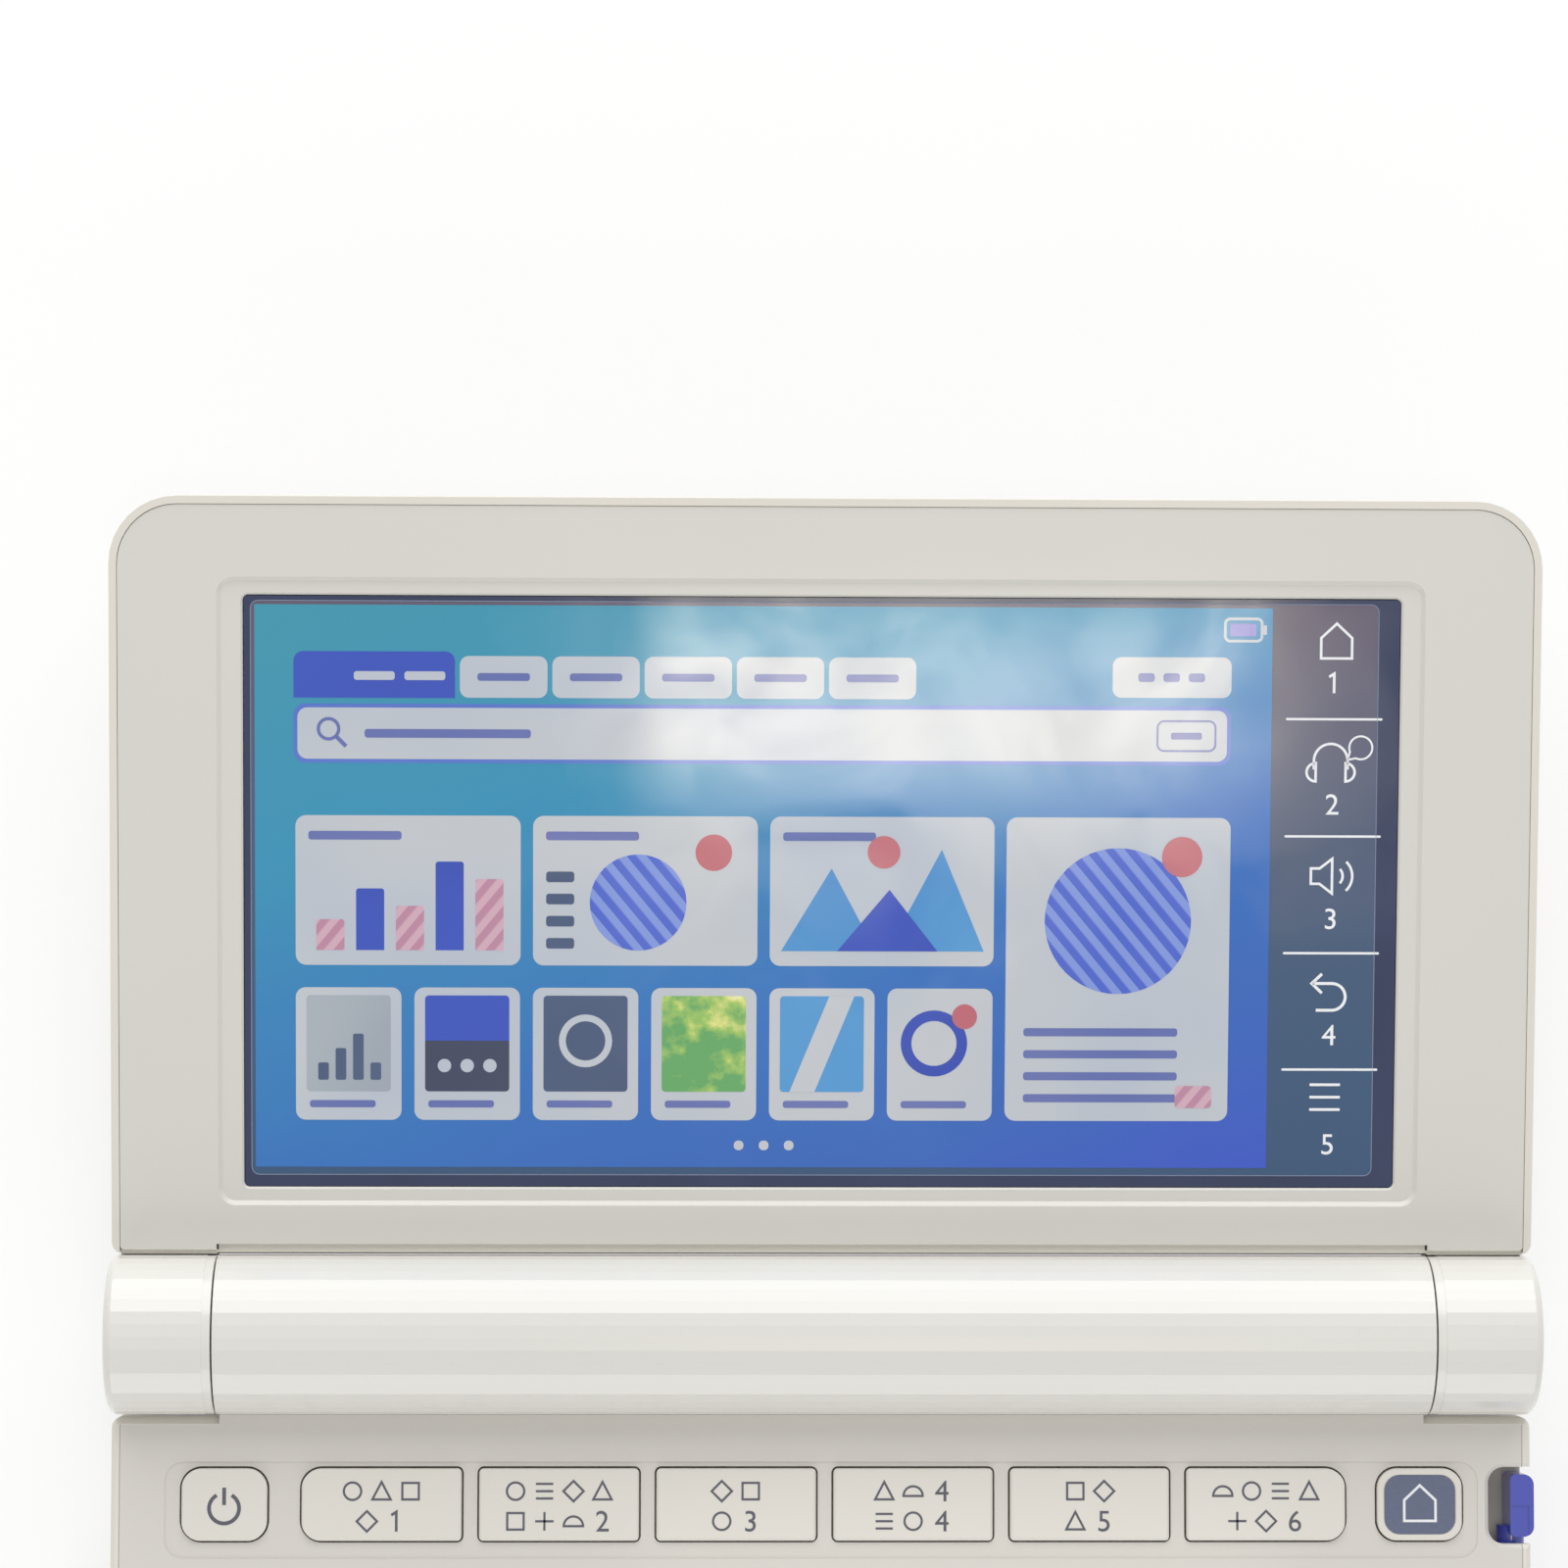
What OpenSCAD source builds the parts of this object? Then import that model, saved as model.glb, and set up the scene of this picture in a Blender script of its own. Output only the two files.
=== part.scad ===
// Clamshell electronic dictionary, lying open on a table.
// X runs to the right along the hinge, Y away from the reader, Z up.
// The origin is on the table plane, straight below the middle of the hinge axis.

/* [Case] */
// Width of the lid and of the base
case_w = 147.5; // [144:0.5:152]
// Reach of the lid and of the base from the hinge axis
reach = 86.8; // [84:0.1:90]
// Radius of the lid's and the base's far corners, seen from above
corner_r = 7; // [4:0.5:9]
// Radius along the outer edges of the lid's back and the base's underside
edge_r = 1.6; // [1:0.1:1.8]
// Thickness of the side walls
wall = 1.4; // [1.2:0.1:1.6]
// Height of the hinge axis above the table
axis_z = 8.5; // [8.5:0.1:9]

/* [Hinge barrel] */
// Radius over the corners of the fluted barrel
barrel_r = 8.25; // [8.2:0.05:8.3]
// Number of flat flutes round the barrel
flutes = 40; // [30:1:48]
// Length of the middle barrel, from seam to seam
barrel_l = 125.5; // [124:0.5:127]
// Width over the two hinge knuckles
knuckle_w = 148; // [148:0.1:149]
// Rounding of the knuckles' outer ends
knuckle_edge = 1.4; // [0.6:0.1:2]
// Radius of the hinge shafts
shaft_r = 3; // [2.5:0.1:3.2]
// Angle between the open lid's back and the level of the base
lid_tilt = 8.2; // [4:0.1:12]

/* [Display] */
// Width of the window in the lid's bezel
window_w = 119.4; // [116:0.1:121]
// Height of the window in the lid's bezel
window_h = 61.4; // [58:0.1:62]
// Distance of the window's lower edge from the hinge axis
window_y = 15.3; // [15:0.1:17]
// Shift of the window to the right of the middle
window_x = -0.4; // [-1:0.1:1]

/* [Keys] */
// Depth of every key, front to back
key_d = 7.45; // [7:0.05:7.6]
// Distance of the top row's middle from the hinge axis
top_row = 17.55; // [17:0.05:18]
// Width of the power and home keys
end_key_w = 8.85; // [8:0.05:9.5]
// Width of a wide top-row key
wide_key_w = 16.55; // [16:0.05:17]
// Pitch of the wide top-row keys
wide_pitch = 18.36; // [18:0.02:18.5]
// Width of a letter key
letter_w = 10.2; // [9:0.1:10.6]
// Pitch of the letter keys along a row
letter_pitch = 12.1; // [11.8:0.1:12.2]
// Pitch of the rows below the top row
row_pitch = 10.9; // [10.8:0.05:11]
// Height of the key tops above the deck
key_rise = 0.45; // [0.3:0.05:0.5]
// Gap between a key and the edge of its hole
key_gap = 0.2; // [0.2:0.05:0.3]
// Radius of the round cursor ring
ring_r = 10.8; // [9:0.1:11]

/* [Stylus] */
// Radius of the stylus
stylus_r = 1.45; // [1.2:0.05:1.5]
// Length of the stylus, tip to head
stylus_l = 66; // [50:1:66]

/* [Hidden] */
$fn = 64;
over = 1;           // how far a cutter runs past a face
seat = 0.05;        // gap between pieces that are fixed together
gap = 0.2;          // gap between pieces that move past each other

// heights of the base, from the hinge axis
deck_z = -0.3;      // top of the deck
deck_under = -1.9;  // underside of the deck
split_z = -2.6;     // joint of the upper and lower cases
floor_z = -6.8;     // inside of the bottom
bottom_z = -7.8;    // outside of the bottom
board_z = [-5.4, -4.4];
mat_z = [-4.4, -3.9];
flange_z = [-2.9, -2.1];
key_top = deck_z + key_rise;
rear_y = -8.5;      // rear edge of the base beside the knuckles

// heights of the lid, in its own frame, from the hinge axis
lid_back = -6.5;
lid_inside = -5.3;
lid_rim = -0.3;
bezel_z = [-1.8, -0.4];
glass_z = [-1.9, -1];
lid_near = 8.4;     // lower edge of the lid's back
lid_clear_r = 8.9;  // the lid's hollow round the middle barrel
bezel_near = [8.8, 9.4];  // lower edge of the bezel, over the knuckles and over the barrel

// battery compartment
cell_r = 7.1;
cell_l = 50.5;
cell_end = 52.9;    // right end of the row of cells
bay_r = 7.35;
bay_x = 54.2;
cover_edge = [-2, -1];   // heights of the cover's front and rear edges
cover_y = -24;
cover_z = [bottom_z, -6.75];

// keyboard rows and groups
rows = [for (i = [0:4]) -31.2 - i * row_pitch];
letter_rows = ["qwertyuiop", "asdfghjkl", "zxcvbnm"];
letter_starts = [-60.5, -57.5, -51.5];
bank_w = 18.4;
bank_pitch = 20.3;
ring_at = [50.5, (rows[3] + rows[4]) / 2];
direct_keys = 6;
small_r = 0.5;      // corner radius of letter keys
large_r = 2.1;      // corner radius of the power key and the row's ends

// every letter as [name, x, y]
letters = [for (r = [0:2], i = [0:len(letter_rows[r]) - 1])
    [letter_rows[r][i], letter_starts[r] + i * letter_pitch, rows[r]]];
// every plain function key as [x, y, width]
function_spots = concat(
    [[letter_starts[0] + 10 * letter_pitch, rows[0], letter_w],
     [letter_starts[1] + 9 * letter_pitch, rows[1], letter_w]],
    [for (i = [7:9]) [letter_starts[2] + i * letter_pitch, rows[2], letter_w]],
    [for (y = [rows[3], rows[4]], i = [0:4]) [-56.4 + i * bank_pitch, y, bank_w]]);

// screws, as [x, y]
screws = [for (x = [-1, 1], p = [[57.5, -24.6], [60, -82.8]]) [x * p[0], p[1]]];

// openings on the left side
jack_y = -24.4;
jack_z = -4.6;
jack_r = 1.78;
jack_l = 13;
usb_y = -40.5;
card_y = -62;
speaker_at = [-40, -74];

// stylus bay on the right side
bay_in = 70.4;
bay_y = [-81.5, -13.7];
notch_x = 69.35;
notch_y = [-21.7, -13.7];
stylus_x = 72.3;
stylus_z = -4.6;
head_y = [-21, -14.5];

cream = "#E9E5DC";
ivory = "#F5F3ED";
grey_white = "#D6D3CB";

// ---- helpers ----

// a box given by its ranges
module box(x, y, z) {
    translate([x[0], y[0], z[0]]) cube([x[1] - x[0], y[1] - y[0], z[1] - z[0]]);
}

// a rectangle with its own radius at each corner, counted from the near left anticlockwise
module rounded(w, d, r) {
    signs = [[-1, -1], [1, -1], [1, 1], [-1, 1]];
    difference() {
        square([w, d], center = true);
        for (i = [0:3]) translate([signs[i][0] * (w / 2 - r[i]), signs[i][1] * (d / 2 - r[i])])
            difference() {
                translate([signs[i][0] * (r[i] + over) / 2, signs[i][1] * (r[i] + over) / 2])
                    square(r[i] + over, center = true);
                circle(r[i]);
            }
    }
}

// a rectangle with one radius at all four corners
module even(w, d, r) { rounded(w, d, [r, r, r, r], $fn = 32); }

// an upright prism between two heights
module prism(z) {
    translate([0, 0, z[0]]) linear_extrude(z[1] - z[0]) children();
}

// an upright cylinder at a spot, between two heights
module post(at, r, z) {
    translate([at[0], at[1], z[0]]) cylinder(r = r, h = z[1] - z[0]);
}

// a cylinder along X between two places
module rod(r, x) {
    translate([x[0], 0, 0]) rotate([0, 90, 0]) cylinder(r = r, h = x[1] - x[0]);
}

// the fluted bar: a regular polygon drawn out along X
module fluted(x) {
    step = 360 / flutes;
    translate([x[0], 0, 0]) rotate([90, 0, 90]) linear_extrude(x[1] - x[0])
        polygon([for (i = [0:flutes - 1]) barrel_r * [cos(i * step), sin(i * step)]]);
}

// the outline of a leaf of the case, with its near edge beside the hinge
module leaf(near, inset) {
    near_r = max(0.3, 1.2 - inset);
    far_r = corner_r - inset;
    translate([0, (near + reach) / 2])
        rounded(case_w - 2 * inset, reach - near - 2 * inset, [near_r, near_r, far_r, far_r]);
}

// a leaf between two heights with its lower edge rounded
module soft_leaf(near, z) {
    steps = 3;
    slice = 0.01;
    hull() {
        prism([z[0] + edge_r, z[1]]) leaf(near, 0, $fn = 32);
        for (i = [0:steps - 1]) {
            a = i * 90 / steps;
            translate([0, 0, z[0] + edge_r * (1 - cos(a))]) linear_extrude(slice)
                leaf(near, edge_r * (1 - sin(a)), $fn = 32);
        }
    }
}

// the frames that the pieces are drawn in
module on_axis() { translate([0, 0, axis_z]) children(); }
module in_lid() { on_axis() rotate([lid_tilt, 0, 0]) children(); }
module both_sides() {
    children();
    mirror([1, 0, 0]) children();
}

// ---- keys ----

// a key's outline: radii on the left and on the right, grown all round
module key_shape(w, r, grow) {
    a = r[0] + grow;
    b = r[1] + grow;
    rounded(w + 2 * grow, key_d + 2 * grow, [a, b, b, a]);
}

// a bar of the given width with its two upper edges eased, drawn out along Y
module eased_bar(w, z, l) {
    ease = 0.3;
    rotate([90, 0, 0]) translate([0, 0, -l / 2]) linear_extrude(l) difference() {
        translate([-w / 2, z[0]]) square([w, z[1] - z[0]]);
        for (s = [-1, 1]) translate([s * (w / 2 - ease), z[1] - ease]) difference() {
            translate([s > 0 ? 0 : -over, 0]) square(over);
            circle(ease, $fn = 24);
        }
    }
}

// a key: a cap that stands through the deck, on a flange that stops under it
module key(at, w, r) {
    lip = 0.5;
    cap = [flange_z[0], key_top];
    on_axis() translate([at[0], at[1], 0]) {
        intersection() {
            prism(cap) key_shape(w, r, 0);
            eased_bar(w, cap, key_d + over);
            rotate([0, 0, 90]) eased_bar(key_d, cap, w + over);
        }
        prism(flange_z) key_shape(w, r, lip);
    }
}

module key_hole(at, w, r) {
    translate([at[0], at[1], 0]) prism([deck_under - over, deck_z + over]) key_shape(w, r, key_gap);
}

function direct_at(i) = [(i - (direct_keys + 1) / 2) * wide_pitch + 0.15, -top_row];
function direct_r(i) = [i == 1 ? large_r : small_r, i == direct_keys ? large_r : small_r];
power_at = [-62, -top_row];
home_at = [62.1, -top_row];
round_ends = [large_r, large_r];
square_ends = [small_r, small_r];

module power_key() { color(cream) key(power_at, end_key_w, round_ends); }

module home_key() {
    pad = [7.6, 6.2];
    pad_r = 1.7;
    pad_deep = 0.08;
    color("#5C6378") difference() {
        key(home_at, end_key_w, round_ends);
        on_axis() translate([home_at[0], home_at[1], 0]) prism([key_top - pad_deep, key_top + over])
            rounded(pad[0], pad[1], [pad_r, pad_r, pad_r, pad_r]);
    }
}

module direct_key(i) { color(cream) key(direct_at(i), wide_key_w, direct_r(i)); }

module letter_key(k) { color(cream) key([k[1], k[2]], letter_w, square_ends); }

module function_keys() {
    color(grey_white) for (s = function_spots) key([s[0], s[1]], s[2], square_ends);
}

// the ring is turned from one profile: flange, wall, rounded crown and dished top
module cursor_ring() {
    inner = 5.1;
    lip = 0.7;
    color(cream) on_axis() translate([ring_at[0], ring_at[1], 0]) rotate_extrude() polygon([
        [inner, -3.1], [ring_r + lip, -3.1], [ring_r + lip, -2.4], [ring_r, -2.4],
        [ring_r, -0.4], [ring_r - 0.4, 0], [ring_r - 2.8, -0.2], [inner + 0.5, -0.05], [inner, -0.3]]);
}

module cursor_pad() {
    color("dimgray") on_axis() difference() {
        post(ring_at, ring_r - 0.6, [-3.95, -3.4]);
        post(ring_at, 5.3, [-5, -3]);
    }
}

module enter_key() {
    cap_r = 4.8;
    crown = 0.4;
    color(cream) on_axis() translate([ring_at[0], ring_at[1], 0]) rotate_extrude() polygon([
        [0, -3.3], [cap_r, -3.3], [cap_r, key_top - crown], [cap_r - crown, key_top], [0, key_top]]);
}

// ---- base ----

module lower_case() {
    head_r = 2.1;
    color(cream) on_axis() difference() {
        union() {
            difference() {
                mirror([0, 1, 0]) soft_leaf(-rear_y, [bottom_z, split_z]);
                mirror([0, 1, 0]) prism([floor_z, split_z + over]) leaf(-rear_y, wall);
            }
            // raised floor over the battery cover's tongue
            box([-bay_x - 1.4, bay_x + 1.4], [cover_y - 1.4, rear_y], [floor_z - 0.1, -5.6]);
            // saddles under the ends of the barrel
            both_sides() box([bay_x + 0.2, barrel_l / 2 - 0.15], [rear_y - 0.1, -5], [bottom_z, split_z]);
            bay_walls([floor_z - 0.1, split_z]);
            for (s = screws) {
                post(s, 3.2, [floor_z - 0.1, -6]);
                post(s, 2.1, [-6.1, split_z - seat]);
            }
        }
        rod(barrel_r + seat, [-barrel_l / 2 - over, barrel_l / 2 + over]);
        both_sides() box([55.9, 61.6], [-12.6, -7], [-4.4, split_z + over]);
        box([-bay_x - 0.1, bay_x + 0.1], [cover_y - 0.3, 0], [bottom_z - over, cover_z[1] + gap]);
        stylus_bay(split_z + over);
        for (s = screws) {
            post(s, 1.15, [bottom_z - over, split_z + over]);
            post(s, head_r, [bottom_z - over, -6.9]);
        }
        left_openings();
        speaker_slots();
        // room for the jack's body beside the screw post
        box([-72.3, -60.3], [jack_y - 2.6, jack_y + 2.6], [floor_z, split_z + over]);
    }
}

// the walls round the stylus bay, between two heights, inside the outline of the base
module bay_walls(z) {
    rib = 1.2;
    intersection() {
        mirror([0, 1, 0]) prism(z) leaf(-rear_y, 0.4);
        union() {
            box([bay_in - rib, case_w], [bay_y[0] - rib, bay_y[1]], z);
            box([notch_x - rib, case_w], [notch_y[0] - rib, notch_y[1] + rib], z);
        }
    }
}

// the open bay along the right side, with the finger notch over the stylus's head
module stylus_bay(top) {
    lip = 1.35;
    box([bay_in, case_w], bay_y, [bottom_z + lip, top]);
    notch(bottom_z + lip, top);
}

module notch(low, top) {
    w = case_w / 2 - notch_x + 6;
    d = notch_y[1] - notch_y[0];
    r = 1.7;
    chamfer = 0.4;
    translate([notch_x + w / 2, (notch_y[0] + notch_y[1]) / 2, 0]) {
        prism([low, top]) rounded(w, d, [r, 0.1, 0.1, r]);
        if (top > deck_z) hull() {
            prism([deck_z - chamfer, deck_z]) rounded(w, d, [r, 0.1, 0.1, r], $fn = 32);
            prism([deck_z, top]) rounded(w + 2 * chamfer, d + 2 * chamfer, [r + chamfer, 0.1, 0.1, r + chamfer], $fn = 32);
        }
    }
}

module left_openings() {
    usb = [8.2, 3.1];
    usb_r = 1.2;
    card = [12.6, 2];
    rim = 2.35;
    translate([-case_w / 2 + wall + 0.5, 0, 0]) rotate([0, -90, 0]) {
        translate([jack_z, jack_y, 0]) cylinder(r = rim, h = wall + over);
        translate([-4.7, usb_y, 0]) linear_extrude(wall + over)
            rounded(usb[1], usb[0], [usb_r, usb_r, usb_r, usb_r]);
        translate([-5.4, card_y, 0]) linear_extrude(wall + over) square([card[1], card[0]], center = true);
    }
}

module speaker_slots() {
    slots = 7;
    pitch = 2.2;
    for (i = [0:slots - 1]) translate([speaker_at[0] + (i - (slots - 1) / 2) * pitch, speaker_at[1], 0])
        prism([bottom_z - over, floor_z + over]) rounded(1, 9, [0.49, 0.49, 0.49, 0.49]);
}

module upper_case() {
    bevel = 0.45;
    slope = 0.75;
    boss_r = 2.1;
    color(grey_white) on_axis() difference() {
        union() {
            difference() {
                mirror([0, 1, 0]) hull() {
                    prism([split_z, deck_z - bevel]) leaf(-rear_y, 0, $fn = 32);
                    prism([deck_z - 0.01, deck_z]) leaf(-rear_y, bevel, $fn = 32);
                }
                mirror([0, 1, 0]) prism([split_z - over, deck_under]) leaf(-rear_y, wall);
            }
            // the deck runs on to the middle barrel
            box([-barrel_l / 2 + 0.15, barrel_l / 2 - 0.15], [rear_y - bevel, -6], [split_z, deck_z]);
            for (s = screws) post(s, boss_r, [split_z, deck_under + 0.1]);
            bay_walls([split_z, deck_under + 0.1]);
        }
        rod(barrel_r + seat, [-barrel_l / 2 - over, barrel_l / 2 + over]);
        // sloped rear edge under the knuckles
        both_sides() translate([barrel_l / 2 - 0.15, 0, 0]) rotate([90, 0, 90]) linear_extrude(20)
            polygon([[rear_y - slope, deck_z], [rear_y + over, deck_z - slope - over],
                     [rear_y + over, deck_z + over], [rear_y - slope, deck_z + over]]);
        for (s = screws) post(s, 1.02, [split_z - over, -1]);
        // shallow trough that the top row lies in
        translate([0, -top_row - 0.6, 0]) prism([deck_z - 0.12, deck_z + over])
            rounded(136.4, 10, [2, 2, 2, 2]);
        key_hole(power_at, end_key_w, round_ends);
        key_hole(home_at, end_key_w, round_ends);
        for (i = [1:direct_keys]) key_hole(direct_at(i), wide_key_w, direct_r(i));
        for (k = letters) key_hole([k[1], k[2]], letter_w, square_ends);
        for (s = function_spots) key_hole([s[0], s[1]], s[2], square_ends);
        post(ring_at, ring_r + 0.3, [deck_under - over, deck_z + over]);
        notch(split_z - over, deck_z + over);
        box([bay_in, case_w], bay_y, [split_z - over, deck_under]);
        left_openings();
    }
}

module hinge_barrel() {
    flat = 2.2;
    shaft_x = [55.8, barrel_l / 2 + over];
    color(ivory) on_axis() difference() {
        union() {
            fluted([-barrel_l / 2, barrel_l / 2]);
            both_sides() box([56.1, 61.4], [-12.4, -6], [-4.3, split_z - 0.1]);
        }
        rod(bay_r, [-bay_x, bay_x]);
        box([-bay_x, bay_x], [-20, 0], [-20, cover_edge[0] + 0.15]);
        box([-bay_x, bay_x], [-0.01, 20], [-20, cover_edge[1] + 0.15]);
        both_sides() intersection() {
            rod(shaft_r, shaft_x);
            box(shaft_x, [-10, 10], [-10, flat]);
        }
    }
}

// the fluted lower half of the barrel with a flat tongue under the base
module battery_cover() {
    half = bay_x - gap;
    color(cream) on_axis() difference() {
        union() {
            difference() {
                fluted([-half, half]);
                box([-half - over, half + over], [-20, 0], [cover_edge[0], 20]);
                box([-half - over, half + over], [-0.01, 20], [cover_edge[1], 20]);
            }
            translate([0, (cover_y - 2) / 2, 0]) prism(cover_z) rounded(2 * half, -cover_y - 2, [2, 2, 0.1, 0.1]);
        }
        rod(bay_r, [-half - over, half + over]);
        // finger grooves
        for (i = [0:4]) translate([0, cover_y + 3 + i * 1.4, bottom_z]) rotate([0, 90, 0])
            cylinder(r = 0.4, h = 16, center = true, $fn = 24);
    }
}

// two round cells in a row, each turned from one profile
module battery_cells() {
    nub = [2.7, 1.2];
    shoulder = 0.6;
    body = cell_l - nub[1];
    color("#3C8C5A") on_axis() for (i = [1, 2]) translate([cell_end - i * cell_l - (i - 1) * 0.1, 0, 0])
        rotate([90, 0, 90]) rotate_extrude() polygon([
            [0, 0], [cell_r - shoulder, 0], [cell_r, shoulder], [cell_r, body - shoulder],
            [cell_r - shoulder, body], [nub[0], body], [nub[0], cell_l], [0, cell_l]]);
}

// a flat plate at the positive end and a bent leaf at the negative end
module battery_contacts() {
    low = cell_end - 2 * cell_l - 0.1;
    sheet = 0.35;
    color("silver") on_axis() {
        box([cell_end + 0.05, cell_end + 0.05 + sheet], [-4, 4], [-4.5, 4.5]);
        translate([0, 3, 0]) rotate([90, 0, 0]) linear_extrude(6) polygon([
            [-bay_x + 0.1, -5], [-bay_x + 0.1 + sheet, -5], [-bay_x + 0.1 + sheet, 3.6], [low - 0.1, 0.4],
            [low - 0.1, -0.4], [-bay_x + 2, -3.6], [-bay_x + 2.5, -3.9], [low + 0.1 - 0.15, -0.6],
            [low - 0.05, 0.6], [-bay_x + 0.1 + sheet, 4.6], [-bay_x + 0.1, 4.6]]);
    }
}

module main_board() {
    chips = [[-8, -48, 14, 14], [18, -50, 10, 8], [20, -36, 12, 7], [-34, -44, 9, 9], [4, -70, 12, 6]];
    color("seagreen") on_axis() difference() {
        union() {
            translate([(notch_x - 73.5) / 2, -48.15, 0]) prism(board_z)
                rounded(notch_x + 70.3, 73.3, [5.4, 2, 0.5, 0.5]);
            for (c = chips) translate([c[0], c[1], board_z[0] - 0.45]) cube([c[2], c[3], 1.2], center = true);
        }
        for (s = screws) post(s, 2.4, [-9, 0]);
        box([-80, -60], [jack_y - 2.7, jack_y + 2.7], [-9, 0]);
        box([-80, -67.6], [usb_y - 4.1, usb_y + 4.1], [-9, 0]);
        box([-80, -58.2], [card_y - 6.5, card_y + 6.5], [-9, 0]);
        translate([speaker_at[0], speaker_at[1], -9]) linear_extrude(9) square([18.6, 13.6], center = true);
    }
}

// rubber sheet with one low dome under every key
module key_mat() {
    dome = [2, 1.5, 0.2];
    spots = concat([power_at, home_at], [for (i = [1:direct_keys]) direct_at(i)],
        [for (k = letters) [k[1], k[2]]], [for (s = function_spots) [s[0], s[1]]]);
    color("gainsboro") on_axis() difference() {
        union() {
            box([-67.3, 67.3], [-80.2, -12.9], mat_z);
            for (p = spots) translate([p[0], p[1], mat_z[1] - 0.01])
                cylinder(r1 = dome[0], r2 = dome[1], h = dome[2], $fn = 32);
        }
        for (s = screws) post(s, 2.5, [-9, 0]);
        box([-80, -59], [jack_y - 2.8, jack_y + 2.8], [-9, 0]);
        post(ring_at, ring_r + 1.5, [-9, 0]);
    }
}

module speaker() {
    color("dimgray") on_axis() translate([speaker_at[0], speaker_at[1], 0]) {
        difference() {
            prism([-6.75, -4.5]) rounded(18, 13, [3, 3, 3, 3]);
            translate([0, 0, -7]) linear_extrude(0.6) rounded(16, 11, [2.4, 2.4, 2.4, 2.4]);
        }
    }
}

module usb_port() {
    shell = [2.6, 7.5];
    mouth = [1.9, 6.8];
    x = [-73.2, -67.9];
    color("silver") on_axis() difference() {
        translate([x[1], usb_y, -4.7]) rotate([0, -90, 0]) linear_extrude(x[1] - x[0])
            rounded(shell[0], shell[1], [1, 0.4, 0.4, 1]);
        translate([x[1] - 1, usb_y, -4.7]) rotate([0, -90, 0]) linear_extrude(10)
            rounded(mouth[0], mouth[1], [0.7, 0.2, 0.2, 0.7]);
    }
}

module headphone_jack() {
    collar = 2.2;
    color("#3A3B40") on_axis() difference() {
        union() {
            box([-72.2, -60.4], [jack_y - 2.5, jack_y + 2.5], [floor_z + 0.05, -2.15]);
            translate([-case_w / 2, jack_y, jack_z]) rotate([0, 90, 0]) cylinder(r = collar, h = 3);
        }
        translate([-case_w / 2 - over, jack_y, jack_z]) rotate([0, 90, 0])
            cylinder(r = jack_r, h = jack_l + over);
    }
}

module card_slot() {
    color("silver") on_axis() difference() {
        box([-73, -58.6], [card_y - 6.2, card_y + 6.2], [-6.3, -4.55]);
        box([-80, -59.4], [card_y - 5.6, card_y + 5.6], [-5.9, -4.9]);
    }
}

module rubber_feet() {
    foot_z = [-axis_z, bottom_z];
    color("#B9B6AE") on_axis() both_sides() {
        post([62, -75], 4, foot_z);
        difference() {
            translate([58.5, 0.25, 0]) prism([-axis_z, -6.9]) rounded(6.6, 6.5, [1, 1, 1, 1]);
            rod(barrel_r, [40, 80]);
        }
    }
}

module case_screws() {
    color("silver") on_axis() for (s = screws) difference() {
        union() {
            post(s, 1.9, [-7.75, -6.95]);
            post(s, 1, [-7, -1.1]);
        }
        translate([s[0], s[1], -7.75]) cube([2, 0.5, 0.8], center = true);
        translate([s[0], s[1], -7.75]) cube([0.5, 2, 0.8], center = true);
    }
}

// a round stylus with a point, and a flat head that a finger catches in the notch
module stylus() {
    tip = 4;
    x = [71.75, 74.2];
    color("#4850B8") on_axis() {
        translate([stylus_x, head_y[0] + over, stylus_z]) rotate([90, 0, 0]) {
            cylinder(r = stylus_r, h = stylus_l - 7 - tip);
            translate([0, 0, stylus_l - 7 - tip]) cylinder(r1 = stylus_r, r2 = 0.5, h = tip);
        }
        difference() {
            translate([(x[0] + x[1]) / 2, (head_y[0] + head_y[1]) / 2, 0]) prism([-6.1, -0.9])
                rounded(x[1] - x[0], head_y[1] - head_y[0], [0.6, 1.1, 1.1, 0.6]);
            // the step across the head
            box([x[0] - over, x[1] - 0.5], [head_y[0] - over, (head_y[0] + head_y[1]) / 2], [-1.05, 0]);
        }
    }
}

// ---- hinge ----

// steel shafts: keyed flat in the barrel, round in the knuckles
module hinge_shafts() {
    x = [56, barrel_l / 2 + 9.8];
    flat = 2.2;
    color("silver") on_axis() both_sides() difference() {
        rod(shaft_r - 0.01, x);
        box([x[0] - over, barrel_l / 2 + 0.1], [-5, 5], [flat - 0.02, 5]);
    }
}

// fluted knuckles with a smooth collar at the seam, a soft end and a tongue into the lid
module hinge_knuckles() {
    inner = barrel_l / 2 + gap;
    outer = knuckle_w / 2;
    collar = 0.9;
    color(ivory) in_lid() both_sides() difference() {
        union() {
            intersection() {
                union() {
                    fluted([inner + collar, outer]);
                    rod(barrel_r - 0.06, [inner, inner + collar + 0.1]);
                }
                knuckle_blank(inner, outer);
            }
            box([64, 72], [7, 16], [-4.6, -2.2]);
        }
        rod(shaft_r + 0.05, [inner - over, inner + 10]);
    }
}

// the turned blank that rounds the knuckle's outer end
module knuckle_blank(inner, outer) {
    r = barrel_r + 0.1;
    e = knuckle_edge;
    arc = [for (i = [0:6]) [r - e + e * cos(i * 15), outer - inner - e + e * sin(i * 15)]];
    translate([inner, 0, 0]) rotate([90, 0, 90]) rotate_extrude()
        polygon(concat([[0, 0], [r, 0]], arc, [[0, outer - inner]]));
}

// ---- lid ----

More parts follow.
